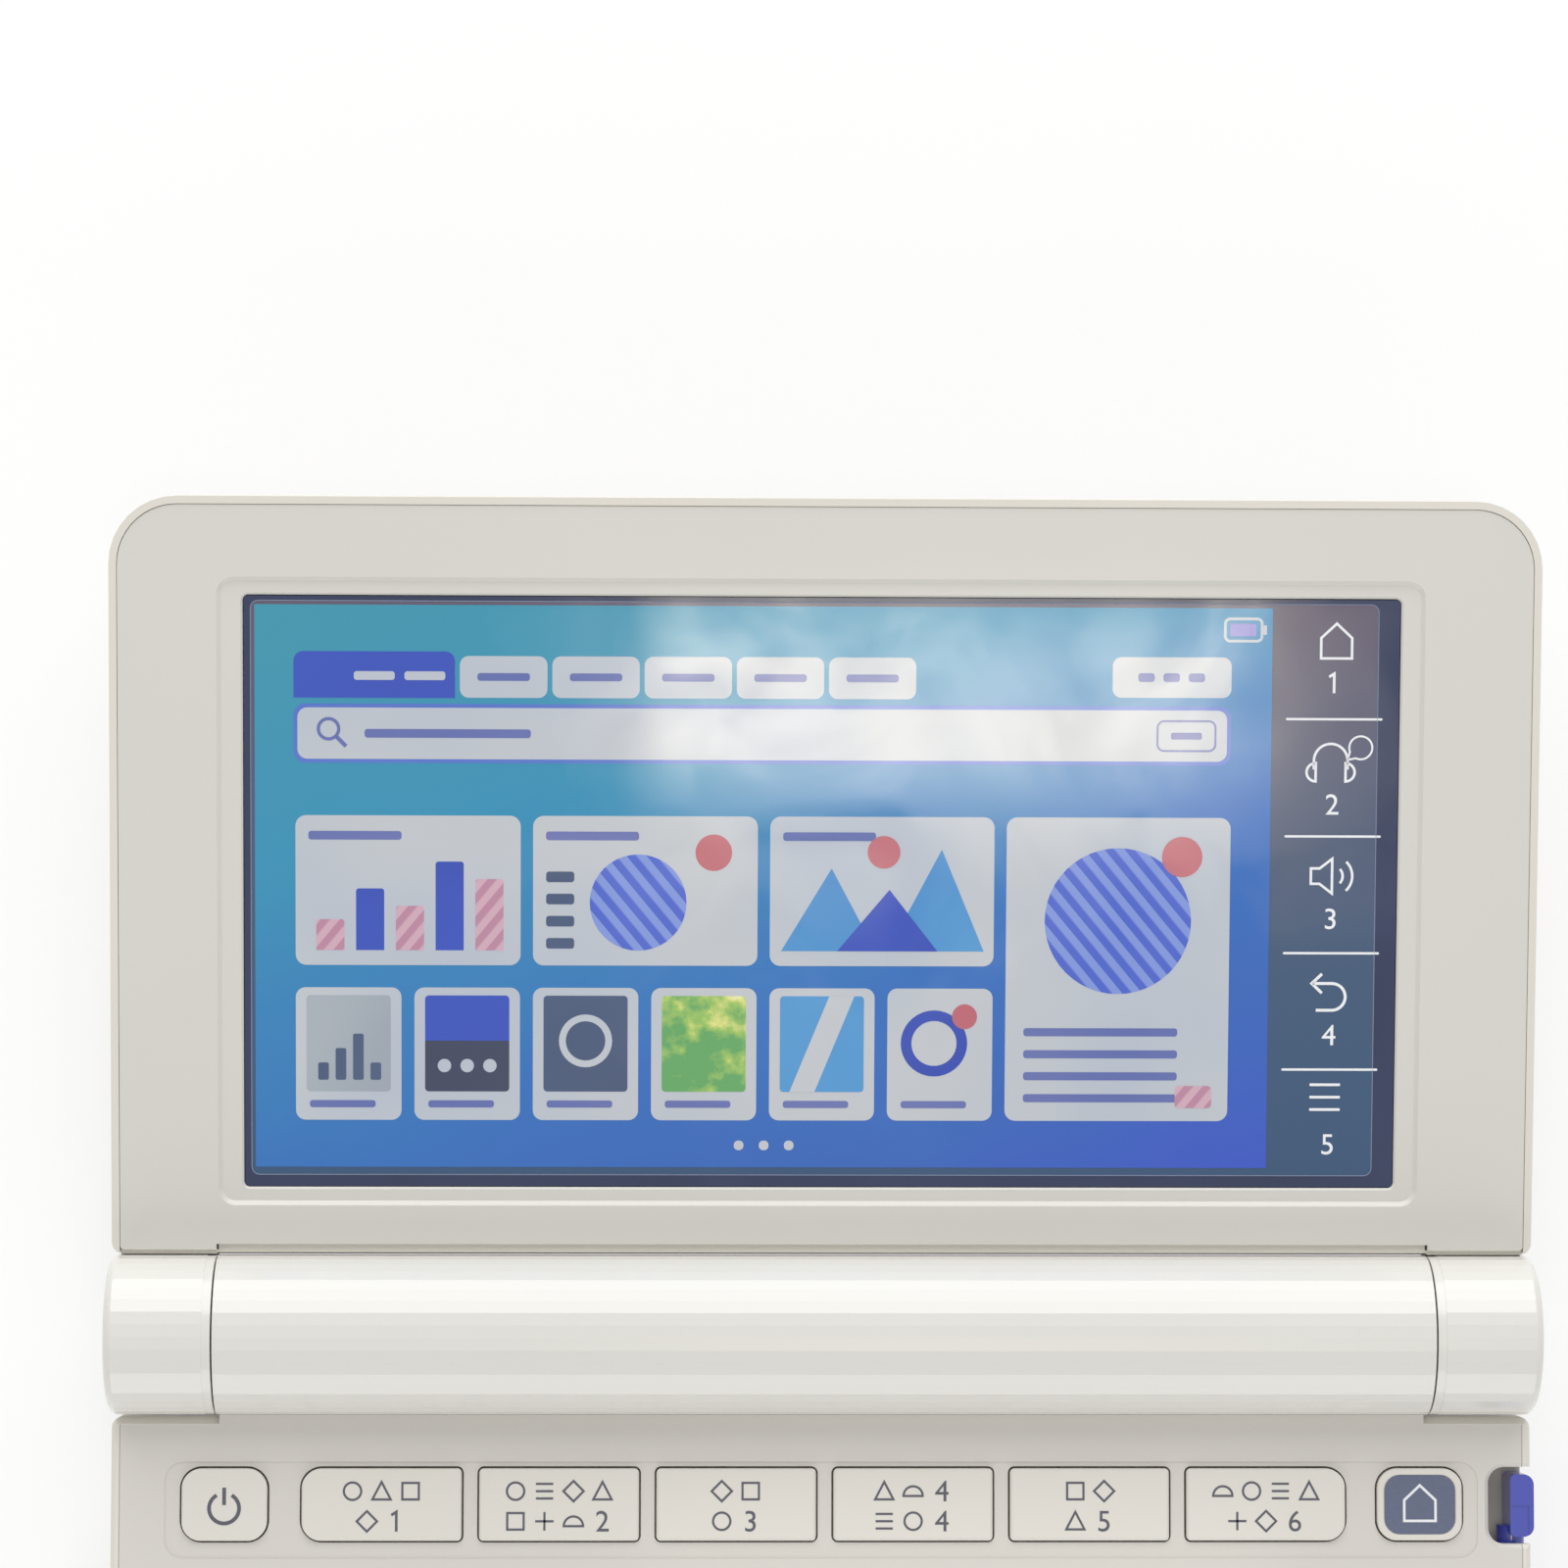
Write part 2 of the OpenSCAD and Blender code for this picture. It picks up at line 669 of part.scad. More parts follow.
module lid_cover() {
    web_x = [barrel_l / 2 + 0.4, case_w / 2 - 0.8];
    seat_r = barrel_r + 0.08;
    lip_z = [-3, -0.9];
    color(cream) in_lid() difference() {
        union() {
            difference() {
                union() {
                    soft_leaf(lid_near, [lid_back, lid_rim]);
                    both_sides() box(web_x, [5, lid_near + 1], [lid_back + 0.3, -2]);
                }
                prism([lid_inside, lid_rim + over]) leaf(lid_near + 0.6, wall);
                // seat of the bezel, open towards the hinge
                prism([bezel_z[0] - seat, lid_rim + over]) leaf(lid_near - 12, 0.8);
                rod(lid_clear_r, [-barrel_l / 2 - 0.2, barrel_l / 2 + 0.2]);
            }
            // the lip along the bezel's lower edge
            box([-barrel_l / 2, barrel_l / 2], [7.5, bezel_near[1] - seat], lip_z);
            both_sides() box([barrel_l / 2 - 0.1, case_w / 2 - 0.85], [7.5, bezel_near[0] - seat], lip_z);
        }
        rod(barrel_r + 0.25, [-barrel_l / 2 - 0.2, barrel_l / 2 + 0.2]);
        both_sides() rod(seat_r, [barrel_l / 2, 80]);
        both_sides() box([63.9, 72.1], [5, 14], [-4.65, -2]);
    }
}

module lid_bezel() {
    far = reach - 0.85;
    half = case_w / 2 - 0.85;
    near = bezel_near;
    r = corner_r - 0.8;
    recess = [124.5, 65.1];
    recess_r = 1.8;
    deep = 0.4;
    bevel = 0.45;
    chamfer = 0.2;
    middle = [window_x, window_y + window_h / 2];
    color(grey_white) in_lid() difference() {
        prism(bezel_z) translate([0, (near[0] + far) / 2]) rounded(2 * half, far - near[0], [0.4, 0.4, r, r]);
        box([-barrel_l / 2 - 0.2, barrel_l / 2 + 0.2], [0, near[1]], [-3, 1]);
        translate([middle[0], middle[1], 0]) prism([-3, 1]) even(window_w, window_h, 0.6);
        // the window's edge is eased
        translate([middle[0], middle[1], 0]) hull() {
            prism([bezel_z[1] - deep - chamfer, bezel_z[1]]) even(window_w, window_h, 0.6);
            prism([bezel_z[1] - deep, bezel_z[1]]) even(window_w + 2 * chamfer, window_h + 2 * chamfer, 0.8);
        }
        // the bevelled step round the window
        translate([middle[0] - 0.1, middle[1], 0]) hull() {
            prism([bezel_z[1] - deep, bezel_z[1]]) even(recess[0] - 2 * bevel, recess[1] - 2 * bevel, recess_r - bevel);
            prism([bezel_z[1], bezel_z[1] + over]) even(recess[0], recess[1], recess_r);
        }
    }
}

module touch_window() {
    fit = 0.1;
    color("#20263A") in_lid() translate([window_x, window_y + window_h / 2, 0]) prism(glass_z)
        rounded(window_w - 2 * fit, window_h - 2 * fit, [0.3, 0.3, 0.3, 0.3]);
}

module lcd_panel() {
    color("#2C62C8") in_lid() box([-61, 49], [window_y - 1.2, window_y + window_h + 1.2], [-3.6, -1.95]);
}

module display_board() {
    color("seagreen") in_lid() {
        box([-52, 40], [18, 52], [-4.9, -4.2]);
        box([-20, 8], [24, 40], [-4.3, -3.65]);
    }
}

// ---- the nodes ----

lower_case();
upper_case();
hinge_barrel();
battery_cover();
battery_cells();
battery_contacts();
main_board();
key_mat();
speaker();
usb_port();
headphone_jack();
card_slot();
rubber_feet();
case_screws();
stylus();
hinge_shafts();
lid_cover();
lid_bezel();
touch_window();
lcd_panel();
display_board();
hinge_knuckles();
cursor_pad();
cursor_ring();
enter_key();
function_keys();
power_key();
home_key();
for (i = [1:direct_keys]) direct_key(i);
for (k = letters) letter_key(k);
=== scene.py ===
# %% [markdown]
# # An electronic dictionary, dressed in Blender
#
# The object is a clamshell electronic dictionary that lies open on a table. Its frame, every case, key and hinge part,
# arrives finished as closed solids. This lesson adds what a maker adds after moulding: surface finishes, printed
# legends, a lit colour display, a touch-key strip and the screws. Each cell is short and says what it made.
#
# Sizes are written in millimetres, as on a drawing, and turned to metres when a mesh is built.

import math

import bpy
from mathutils import Matrix, Vector


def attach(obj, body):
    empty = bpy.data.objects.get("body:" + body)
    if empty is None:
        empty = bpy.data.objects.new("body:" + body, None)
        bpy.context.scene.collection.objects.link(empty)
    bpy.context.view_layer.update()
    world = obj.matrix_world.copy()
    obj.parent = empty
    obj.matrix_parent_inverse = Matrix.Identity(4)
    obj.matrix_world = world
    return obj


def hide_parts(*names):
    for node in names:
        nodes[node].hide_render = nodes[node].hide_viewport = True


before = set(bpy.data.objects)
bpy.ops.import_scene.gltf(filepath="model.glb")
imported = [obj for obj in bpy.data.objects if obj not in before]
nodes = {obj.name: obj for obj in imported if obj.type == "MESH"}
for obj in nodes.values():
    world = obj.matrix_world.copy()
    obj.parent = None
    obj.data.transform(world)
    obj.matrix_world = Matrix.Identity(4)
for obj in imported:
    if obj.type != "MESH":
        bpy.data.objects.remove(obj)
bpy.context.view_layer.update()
MM = 0.001

# %% [markdown]
# ## Small helpers for materials
#
# A colour is easiest to pick as an sRGB hex value, but Blender's shaders work in linear light, so one function turns
# one into the other. A second function adds a node to a tree with its settings, values and links in a single line,
# which keeps the recipe of a finish readable. A third starts a material with the shader that all of them use.

# %% Colour and node helpers
def linear(code):
    """An sRGB hex colour as the linear RGBA that shaders use."""
    parts = [int(code[i : i + 2], 16) / 255 for i in (1, 3, 5)]
    return (*[c / 12.92 if c <= 0.04045 else ((c + 0.055) / 1.055) ** 2.4 for c in parts], 1)


def add(tree, kind, values=None, links=None, **settings):
    """Adds one node: its settings, its sockets' values, and links from other nodes' outputs."""
    made = tree.nodes.new(kind)
    for name, value in settings.items():
        setattr(made, name, value)
    for socket, value in (values or {}).items():
        made.inputs[socket].default_value = value
    for socket, source in (links or {}).items():
        tree.links.new(source, made.inputs[socket])
    return made


def new_finish(name, **values):
    """A material with one Principled shader: returns the material, its tree, the shader and Object coordinates."""
    material = bpy.data.materials.new(name)
    material.use_nodes = True
    tree = material.node_tree
    shader = next(n for n in tree.nodes if n.type == "BSDF_PRINCIPLED")
    for socket, value in values.items():
        shader.inputs[socket.replace("_", " ")].default_value = value
    place = add(tree, "ShaderNodeTexCoord").outputs["Object"]
    return material, tree, shader, place


print("linear cream is", [round(v, 3) for v in linear("#E9E5DC")])

# %% [markdown]
# ## The moulded plastics
#
# Nearly all of this object is injection-moulded ABS. Its surface comes from the mould: a spark-eroded steel mould
# leaves a fine even grain that scatters light, and a polished mould leaves gloss. Real parts also vary a little in
# tone over a few centimetres, where the plastic flowed and cooled. So one recipe serves every plastic here: a broad
# noise moves the colour between two near tones, and a fine noise gives bump and a slight spread of roughness. The
# true grain is about 0.05 mm, which is finer than a pixel, so it is drawn at 0.25 to 0.4 mm to show at all. The
# mirror-smooth barrel has no grain, so its depth is 0 and it gets no bump.

# %% A recipe for moulded plastic
FLOW_PATCH = 28  # mm over which the tone drifts
FLOW_SHARE = 0.75  # of the change in tone; the rest follows the grain


def moulded_plastic(name, tone, shade, roughness, grain, depth, gloss=0.0):
    """tone and shade are hex colours, grain and depth of the mould's texture in mm, gloss a clear coat's weight."""
    material, tree, shader, place = new_finish(name, IOR=1.53, Coat_Weight=gloss, Coat_Roughness=0.08, Coat_IOR=1.5)
    cooling = add(tree, "ShaderNodeTexNoise", {"Scale": 1 / (FLOW_PATCH * MM), "Detail": 2.0}, {"Vector": place})
    grit = add(tree, "ShaderNodeTexNoise", {"Scale": 1 / (grain * MM), "Detail": 3.0}, {"Vector": place})
    blend = add(tree, "ShaderNodeMath", {1: FLOW_SHARE, 2: 0.0}, {0: cooling.outputs[0]}, operation="MULTIPLY_ADD")
    dusty = add(tree, "ShaderNodeMath", {1: 1 - FLOW_SHARE}, {0: grit.outputs[0], 2: blend.outputs[0]},
                operation="MULTIPLY_ADD")
    colour = add(tree, "ShaderNodeMix", {6: linear(shade), 7: linear(tone)}, {0: dusty.outputs[0]}, data_type="RGBA")
    rough = add(tree, "ShaderNodeMapRange", {3: roughness - 0.05, 4: roughness + 0.05}, {0: grit.outputs[0]})
    tree.links.new(colour.outputs[2], shader.inputs["Base Color"])
    tree.links.new(rough.outputs[0], shader.inputs["Roughness"])
    if depth:
        bump = add(tree, "ShaderNodeBump", {"Strength": 1.0, "Distance": depth * MM}, {"Height": grit.outputs[0]})
        tree.links.new(bump.outputs[0], shader.inputs["Normal"])
    return material


dressed = []


def dress(material, *names):
    """Gives solids of the frame their finish."""
    for name in names:
        dressed.append(name)
        for spot in nodes[name].material_slots:
            spot.material = material


# Spark-eroded ABS, warm cream: the outer shells and the rim round the bezel scatter light softly.
shell_abs = moulded_plastic("spark_eroded_cream_abs", "#DFDAD0", "#D9D4CA", 0.42, 0.35, 0.006)
# Painted ABS, silver-white satin: the bezel and the deck are a cooler, slightly darker tone than the shells.
bezel_paint = moulded_plastic("satin_painted_bezel_abs", "#D5D3CC", "#D0CEC6", 0.38, 0.30, 0.004, gloss=0.15)
deck_paint = moulded_plastic("satin_painted_deck_abs", "#D7D3CC", "#D2CEC7", 0.40, 0.30, 0.004, gloss=0.10)
# Polished ABS, ivory white: the barrel's facets are mirror-smooth flats, so they catch the light one by one.
barrel_abs = moulded_plastic("polished_ivory_abs", "#DCDBD5", "#D8D6D0", 0.24, 0.80, 0.0, gloss=0.5)
# Key caps: fine-grained satin ABS, lighter than the deck round them.
key_abs = moulded_plastic("satin_key_cap_abs", "#E0DCD4", "#DBD7CE", 0.40, 0.28, 0.004, gloss=0.1)
# Stylus: polished ABS dyed blue-violet right through.
stylus_abs = moulded_plastic("polished_violet_abs", "#3643B0", "#303CA4", 0.22, 0.40, 0.002, gloss=0.5)
# Sockets and loudspeaker: unpainted dark grey ABS straight from the mould.
socket_abs = moulded_plastic("dark_grey_socket_abs", "#4A4C58", "#3E404A", 0.45, 0.30, 0.006)
print("plastics made:", len([m for m in bpy.data.materials if m.name.endswith("_abs")]))

# %% [markdown]
# ## The rim of the deck
#
# The deck is a painted plate let into the cream shell, and the shell shows as a rim 0.85 mm wide round it with a fine
# seam. The solid is one piece there, so the rim is drawn by the material: the distance from a rounded rectangle tells
# rim, seam and plate apart. Towards the hinge the rectangle runs on, because the deck goes up to the barrel there, and
# only the sloped shoulders beside the barrel take the rim's colour.

# %% A rim drawn by distance
SEAM_WIDTH, SEAM_BLUR, RIM_BLUR = 0.12, 0.08, 0.04


def rimmed(material, rim, seam, half, middle, corner, inset, shoulder):
    """Adds a rim of another colour, and a seam beside it, outside a rounded rectangle round a middle (mm).

    The rim's colour also covers the shoulders: what is farther out than shoulder[0] and farther back than shoulder[1].
    """
    tree = material.node_tree
    shader = next(n for n in tree.nodes if n.type == "BSDF_PRINCIPLED")
    inner = shader.inputs["Base Color"].links[0].from_socket
    place = add(tree, "ShaderNodeTexCoord").outputs["Object"]
    # distance outside the rectangle that is left when the corners' radius is taken off every side
    spot = add(tree, "ShaderNodeVectorMath", {1: (middle[0] * MM, middle[1] * MM, 0)}, {0: place}, operation="SUBTRACT")
    flat = add(tree, "ShaderNodeVectorMath", {1: (1, 1, 0)}, {0: spot.outputs[0]}, operation="MULTIPLY")
    fold = add(tree, "ShaderNodeVectorMath", links={0: flat.outputs[0]}, operation="ABSOLUTE")
    bounds = ((half[0] - corner) * MM, (half[1] - corner) * MM, 0)
    past = add(tree, "ShaderNodeVectorMath", {1: bounds}, {0: fold.outputs[0]}, operation="SUBTRACT")
    kept = add(tree, "ShaderNodeVectorMath", {1: (0, 0, 0)}, {0: past.outputs[0]}, operation="MAXIMUM")
    far = add(tree, "ShaderNodeVectorMath", links={0: kept.outputs[0]}, operation="LENGTH").outputs["Value"]
    # 0 on the plate and 1 on the rim, then the same a little farther in: the seam is the difference
    edge = (corner - inset) * MM
    seam_in = {1: edge - SEAM_WIDTH * MM, 2: edge - (SEAM_WIDTH - SEAM_BLUR) * MM}
    outside = add(tree, "ShaderNodeMapRange", {1: edge, 2: edge + RIM_BLUR * MM}, {0: far})
    rise = add(tree, "ShaderNodeMapRange", seam_in, {0: far})
    line = add(tree, "ShaderNodeMath", links={0: rise.outputs[0], 1: outside.outputs[0]}, operation="SUBTRACT")
    # 1 on the shoulders
    side = add(tree, "ShaderNodeSeparateXYZ", links={0: fold.outputs[0]}).outputs[0]
    back = add(tree, "ShaderNodeSeparateXYZ", links={0: place}).outputs[1]
    beside = add(tree, "ShaderNodeMath", {1: shoulder[0] * MM}, {0: side}, operation="GREATER_THAN")
    behind = add(tree, "ShaderNodeMath", {1: shoulder[1] * MM}, {0: back}, operation="GREATER_THAN")
    sloped = add(tree, "ShaderNodeMath", links={0: beside.outputs[0], 1: behind.outputs[0]}, operation="MULTIPLY")
    # the three layers of colour, one over the other
    last = inner
    for tint, mask in ((rim, outside), (seam, line), (rim, sloped)):
        layer = add(tree, "ShaderNodeMix", {7: linear(tint)}, {0: mask.outputs[0], 6: last}, data_type="RGBA")
        last = layer.outputs[2]
    tree.links.new(last, shader.inputs["Base Color"])


DECK_HALF, DECK_MIDDLE, DECK_CORNER = (73.75, 60.0), (0, -26.8), 7.0
RIM_WIDTH, SHOULDER = 0.85, (62.6, -9.3)
rimmed(deck_paint, "#DFDAD0", "#A39F98", DECK_HALF, DECK_MIDDLE, DECK_CORNER, RIM_WIDTH, SHOULDER)
print("the deck's rim is", RIM_WIDTH, "mm wide")

# %% Plastics on the solids
letters = [chr(c) for c in range(ord("a"), ord("z") + 1)]
key_names = ["power_key", "home_key", "function_keys", "cursor_ring", "enter_key"]
key_names += [f"direct_key_{i}" for i in range(1, 7)] + [f"letter_{c}" for c in letters]
dress(shell_abs, "lid_cover", "lower_case", "battery_cover")
dress(bezel_paint, "lid_bezel")
dress(deck_paint, "upper_case")
dress(barrel_abs, "hinge_barrel", "hinge_knuckles")
dress(key_abs, *key_names)
dress(stylus_abs, "stylus")
dress(socket_abs, "headphone_jack", "speaker")
print("plastics given to", len(dressed), "solids")

# %% [markdown]
# ## Rubber, metal, circuit boards and cells
#
# The feet are soft moulded rubber, matt and a little mottled. The shafts, contacts and socket shells are nickel-plated
# steel: a metal needs only a base colour, metallic 1 and a roughness pattern, here drawn out along one direction as
# rolled sheet has it. A circuit board is glass-fibre epoxy under green solder mask, where the copper tracks show as
# slightly lighter lines. These pieces are mostly hidden, but a cover that opens or an edge may show them.

# %% Rubber and steel
def moulded_rubber(name, tone, shade):
    """Matt rubber, mottled in flecks of 0.6 mm."""
    material, tree, shader, place = new_finish(name, IOR=1.5, Roughness=0.8)
    fleck = add(tree, "ShaderNodeTexNoise", {"Scale": 1 / (0.6 * MM), "Detail": 4.0}, {"Vector": place})
    colour = add(tree, "ShaderNodeMix", {6: linear(shade), 7: linear(tone)}, {0: fleck.outputs[0]}, data_type="RGBA")
    bump = add(tree, "ShaderNodeBump", {"Distance": 0.02 * MM}, {"Height": fleck.outputs[0]})
    tree.links.new(colour.outputs[2], shader.inputs["Base Color"])
    tree.links.new(bump.outputs[0], shader.inputs["Normal"])
    return material


def rolled_steel(name, tone, shade, roughness):
    """Nickel-plated sheet: rolling leaves faint lines 6 mm long and 0.2 mm apart along X."""
    material, tree, shader, place = new_finish(name, Metallic=1.0)
    stretch = (1 / (6 * MM), 1 / (0.2 * MM), 1 / (0.2 * MM))
    along = add(tree, "ShaderNodeMapping", {"Scale": stretch}, {"Vector": place})
    lines = add(tree, "ShaderNodeTexNoise", {"Scale": 1.0, "Detail": 2.0}, {"Vector": along.outputs[0]})
    colour = add(tree, "ShaderNodeMix", {6: linear(shade), 7: linear(tone)}, {0: lines.outputs[0]}, data_type="RGBA")
    rough = add(tree, "ShaderNodeMapRange", {3: roughness - 0.08, 4: roughness + 0.08}, {0: lines.outputs[0]})
    tree.links.new(colour.outputs[2], shader.inputs["Base Color"])
    tree.links.new(rough.outputs[0], shader.inputs["Roughness"])
    return material


foot_rubber = moulded_rubber("soft_grey_foot_rubber", "#C4C1B8", "#B4B1A8")
mat_rubber = moulded_rubber("silicone_key_mat", "#9A9A9C", "#8A8A8D")
plated_steel = rolled_steel("nickel_plated_steel", "#D6D4D0", "#BDBBB7", 0.28)
dress(foot_rubber, "rubber_feet")
dress(mat_rubber, "key_mat", "cursor_pad")
dress(plated_steel, "hinge_shafts", "battery_contacts", "usb_port", "card_slot", "case_screws")
print("with rubber and steel,", len(dressed), "solids")

# %% Boards and cells
def solder_mask(name):
    """Green epoxy lacquer over copper tracks on a 1.2 mm grid."""
    material, tree, shader, place = new_finish(name, IOR=1.5, Roughness=0.35, Coat_Weight=0.4)
    greens = {"Color1": linear("#1E6B43"), "Color2": linear("#1A5F3B"), "Mortar": linear("#2F8A58")}
    sizes = {"Scale": 1 / (2.4 * MM), "Mortar Size": 0.05}
    tracks = add(tree, "ShaderNodeTexBrick", {**greens, **sizes}, {"Vector": place})
    tree.links.new(tracks.outputs["Color"], shader.inputs["Base Color"])
    return material


CELL_STEP = 50.6  # from one cell to the next, in mm


def cell_sleeve(name):
    """Printed film on round cells: a green sleeve, with a silver band round the place where the two meet."""
    material, tree, shader, place = new_finish(name, IOR=1.5, Roughness=0.3, Metallic=0.4)
    x = add(tree, "ShaderNodeSeparateXYZ", links={0: place}).outputs[0]
    step = add(tree, "ShaderNodeMath", {1: CELL_STEP * MM}, {0: x}, operation="PINGPONG")
    part = add(tree, "ShaderNodeMath", {1: CELL_STEP * MM}, {0: step.outputs[0]}, operation="DIVIDE")
    band = add(tree, "ShaderNodeValToRGB", links={0: part.outputs[0]})
    band.color_ramp.interpolation = "CONSTANT"
    silver, green = band.color_ramp.elements
    silver.color = linear("#C9CCC8")
    green.position, green.color = 0.08, linear("#3C8C5A")
    tree.links.new(band.outputs["Color"], shader.inputs["Base Color"])
    return material


dress(solder_mask("green_solder_mask"), "main_board", "display_board")
dress(cell_sleeve("printed_cell_sleeve"), "battery_cells")
print("with boards and cells,", len(dressed), "solids")

# %% [markdown]
# ## Ink and glass
#
# Legends on keys are pad-printed: a silicone pad lays down ink about 0.02 mm thick. The window is glass printed navy
# from behind, so from the front it is a deep, dark gloss. Fingers leave faint smears on it that show as a change in
# roughness. An opaque dark base with a glassy IOR gives this look and stays robust in any renderer.

# %% Ink and glass finishes
def pad_ink(name, tone, shade):
    """Ink with the slight unevenness that a printing pad leaves, drawn at 0.4 mm."""
    material, tree, shader, place = new_finish(name, IOR=1.5, Roughness=0.5)
    patch = add(tree, "ShaderNodeTexNoise", {"Scale": 1 / (0.4 * MM), "Detail": 2.0}, {"Vector": place})
    colour = add(tree, "ShaderNodeMix", {6: linear(shade), 7: linear(tone)}, {0: patch.outputs[0]}, data_type="RGBA")
    tree.links.new(colour.outputs[2], shader.inputs["Base Color"])
    return material


def smeared(tree, place, shader):
    """Finger smears on glass: patches 18 mm across where the gloss is a little softer."""
    blot = {"Scale": 1 / (18 * MM), "Detail": 4.0, "Distortion": 1.2}
    smear = add(tree, "ShaderNodeTexNoise", blot, {"Vector": place})
    rough = add(tree, "ShaderNodeMapRange", {1: 0.35, 2: 0.7, 3: 0.05, 4: 0.16}, {0: smear.outputs[0]})
    tree.links.new(rough.outputs[0], shader.inputs["Roughness"])
    return smear


def back_printed_glass(name, tone, shade):
    """Glass printed from behind: its tone drifts with the smears."""
    material, tree, shader, place = new_finish(name, IOR=1.52)
    smear = smeared(tree, place, shader)
    colour = add(tree, "ShaderNodeMix", {6: linear(shade), 7: linear(tone)}, {0: smear.outputs[0]}, data_type="RGBA")
    tree.links.new(colour.outputs[2], shader.inputs["Base Color"])
    return material


def set_stops(node, stops):
    """Gives a colour ramp its stops, each a position and a hex colour."""
    ramp = node.color_ramp.elements
    while len(ramp) < len(stops):
        ramp.new(0.5)
    for element, (spot, code) in zip(ramp, stops):
        element.position, element.color = spot, linear(code)


def film_with_painted_reflection(name, codes, low, high):
    """Tinted film on glass, lighter and warmer towards one end by a painted reflection: the colour runs through even
    stops between two places along Y, in mm.
    """
    material, tree, shader, place = new_finish(name, IOR=1.52)
    smeared(tree, place, shader)
    along = add(tree, "ShaderNodeSeparateXYZ", links={0: place}).outputs[1]
    run = add(tree, "ShaderNodeMapRange", {1: low * MM, 2: high * MM}, {0: along})
    ramp = add(tree, "ShaderNodeValToRGB", links={0: run.outputs[0]})
    set_stops(ramp, [(i / (len(codes) - 1), code) for i, code in enumerate(codes)])
    tree.links.new(ramp.outputs["Color"], shader.inputs["Base Color"])
    return material


legend_ink = pad_ink("dark_grey_legend_ink", "#5A5A66", "#51515C")
white_ink = pad_ink("white_legend_ink", "#F2F3F5", "#E6E8EC")
slate_ink = pad_ink("slate_blue_key_print", "#626A82", "#5A6178")
border_glass = back_printed_glass("navy_printed_glass", "#26345A", "#1C294A")
# the film's own tint is the slate blue at the low end; the lighter mauve towards the lid's far edge is a painted
# reflection of the room in the glass
film_tint_and_reflection = film_with_painted_reflection("slate_film_with_painted_reflection", ["#2C4F74", "#375374", "#4A5470", "#5E5468"], 17, 76)
dress(border_glass, "touch_window", "lcd_panel")
print("every solid is dressed:", sorted(dressed) == sorted(nodes))

# %% [markdown]
# ## The frames that pieces are placed in
#
# The base stands level. The open lid leans 8.2 degrees about the hinge axis, which is 8.5 mm above the table. Drawing
# a display on a leaning plane is hard, so it is drawn flat in the lid's own millimetres, and one matrix carries the
# finished points to their place. The same is done for the base with heights counted from the hinge axis.

# %% Placing matrices
AXIS_Z, LID_LEAN = 8.5, 8.2
GLASS_TOP, GLASS_MIDDLE = -1.0, 46.1  # in the lid's millimetres: the glass lies a little under the hinge axis
in_base = Matrix.Scale(MM, 4) @ Matrix.Translation((0, 0, AXIS_Z))
in_lid = in_base @ Matrix.Rotation(math.radians(LID_LEAN), 4, "X")
print("middle of the glass is", round((in_lid @ Vector((0, GLASS_MIDDLE, GLASS_TOP))).z / MM, 2), "mm above the table")

# %% [markdown]
# ## Drawing flat shapes
#
# Screen tiles, icons and legends are all flat outlines with a tiny thickness. They could be text objects, curves or
# images; here they are plain closed slabs, because slabs stay crisp at any distance and carry their own material.
# A shape is a list of convex faces, each a list of points. The slab function welds them and adds walls only along the
# outer edges, so the result is one closed skin.

# %% Outline helpers
def arc(x, y, r, start, end, count=16):
    """Points on a circle from one angle to another, in degrees."""
    turns = [math.radians(start + (end - start) * i / count) for i in range(count + 1)]
    return [(x + r * math.cos(t), y + r * math.sin(t)) for t in turns]


def disc(x, y, r, count=28):
    """A full circle."""
    return arc(x, y, r, 0, 360, count)[:-1]


def tile(left, right, low, high, r, square=()):
    """A rectangle with rounded corners.

    square names corners that stay sharp: 0 right top, 1 left top, 2 left low, 3 right low.
    """
    corners = [(right, high), (left, high), (left, low), (right, low)]
    middles = [(right - r, high - r), (left + r, high - r), (left + r, low + r), (right - r, low + r)]
    points = []
    for i, (x, y) in enumerate(middles):
        points += [corners[i]] if i in square else arc(x, y, r, 90 * i, 90 * i + 90, 6)
    return points


def stroke(points, width, closed=False):
    """Faces of a line of even width, mitred at its corners."""
    count, rails = len(points), []
    for i, (x, y) in enumerate(points):
        before = points[i - 1] if i or closed else None
        after = points[(i + 1) % count] if i < count - 1 or closed else None
        legs = [(a, b) for a, b in ((before, (x, y)), ((x, y), after)) if a and b]
        ways = [Vector((b[0] - a[0], b[1] - a[1])).normalized() for a, b in legs]
        way = sum(ways, Vector((0, 0))).normalized()
        reach = width / 2 / max(0.35, way.dot(ways[0]))  # a sharp corner's mitre is cut short
        rails.append(((x - way.y * reach, y + way.x * reach), (x + way.y * reach, y - way.x * reach)))
    pairs = [(rails[i], rails[(i + 1) % count]) for i in range(count if closed else count - 1)]
    return [[a[0], b[0], b[1], a[1]] for a, b in pairs]


def moved(faces, x=0.0, y=0.0, size=1.0, turn=0.0):
    """The same faces scaled, turned and shifted."""
    c, s = size * math.cos(math.radians(turn)), size * math.sin(math.radians(turn))
    return [[(x + px * c - py * s, y + px * s + py * c) for px, py in face] for face in faces]


print("a rounded tile has", len(tile(0, 10, 0, 8, 1)), "points")

# %% Slabs and pieces
PRINT = 0.03  # mm: how thick a print is drawn, and the step between layers of print


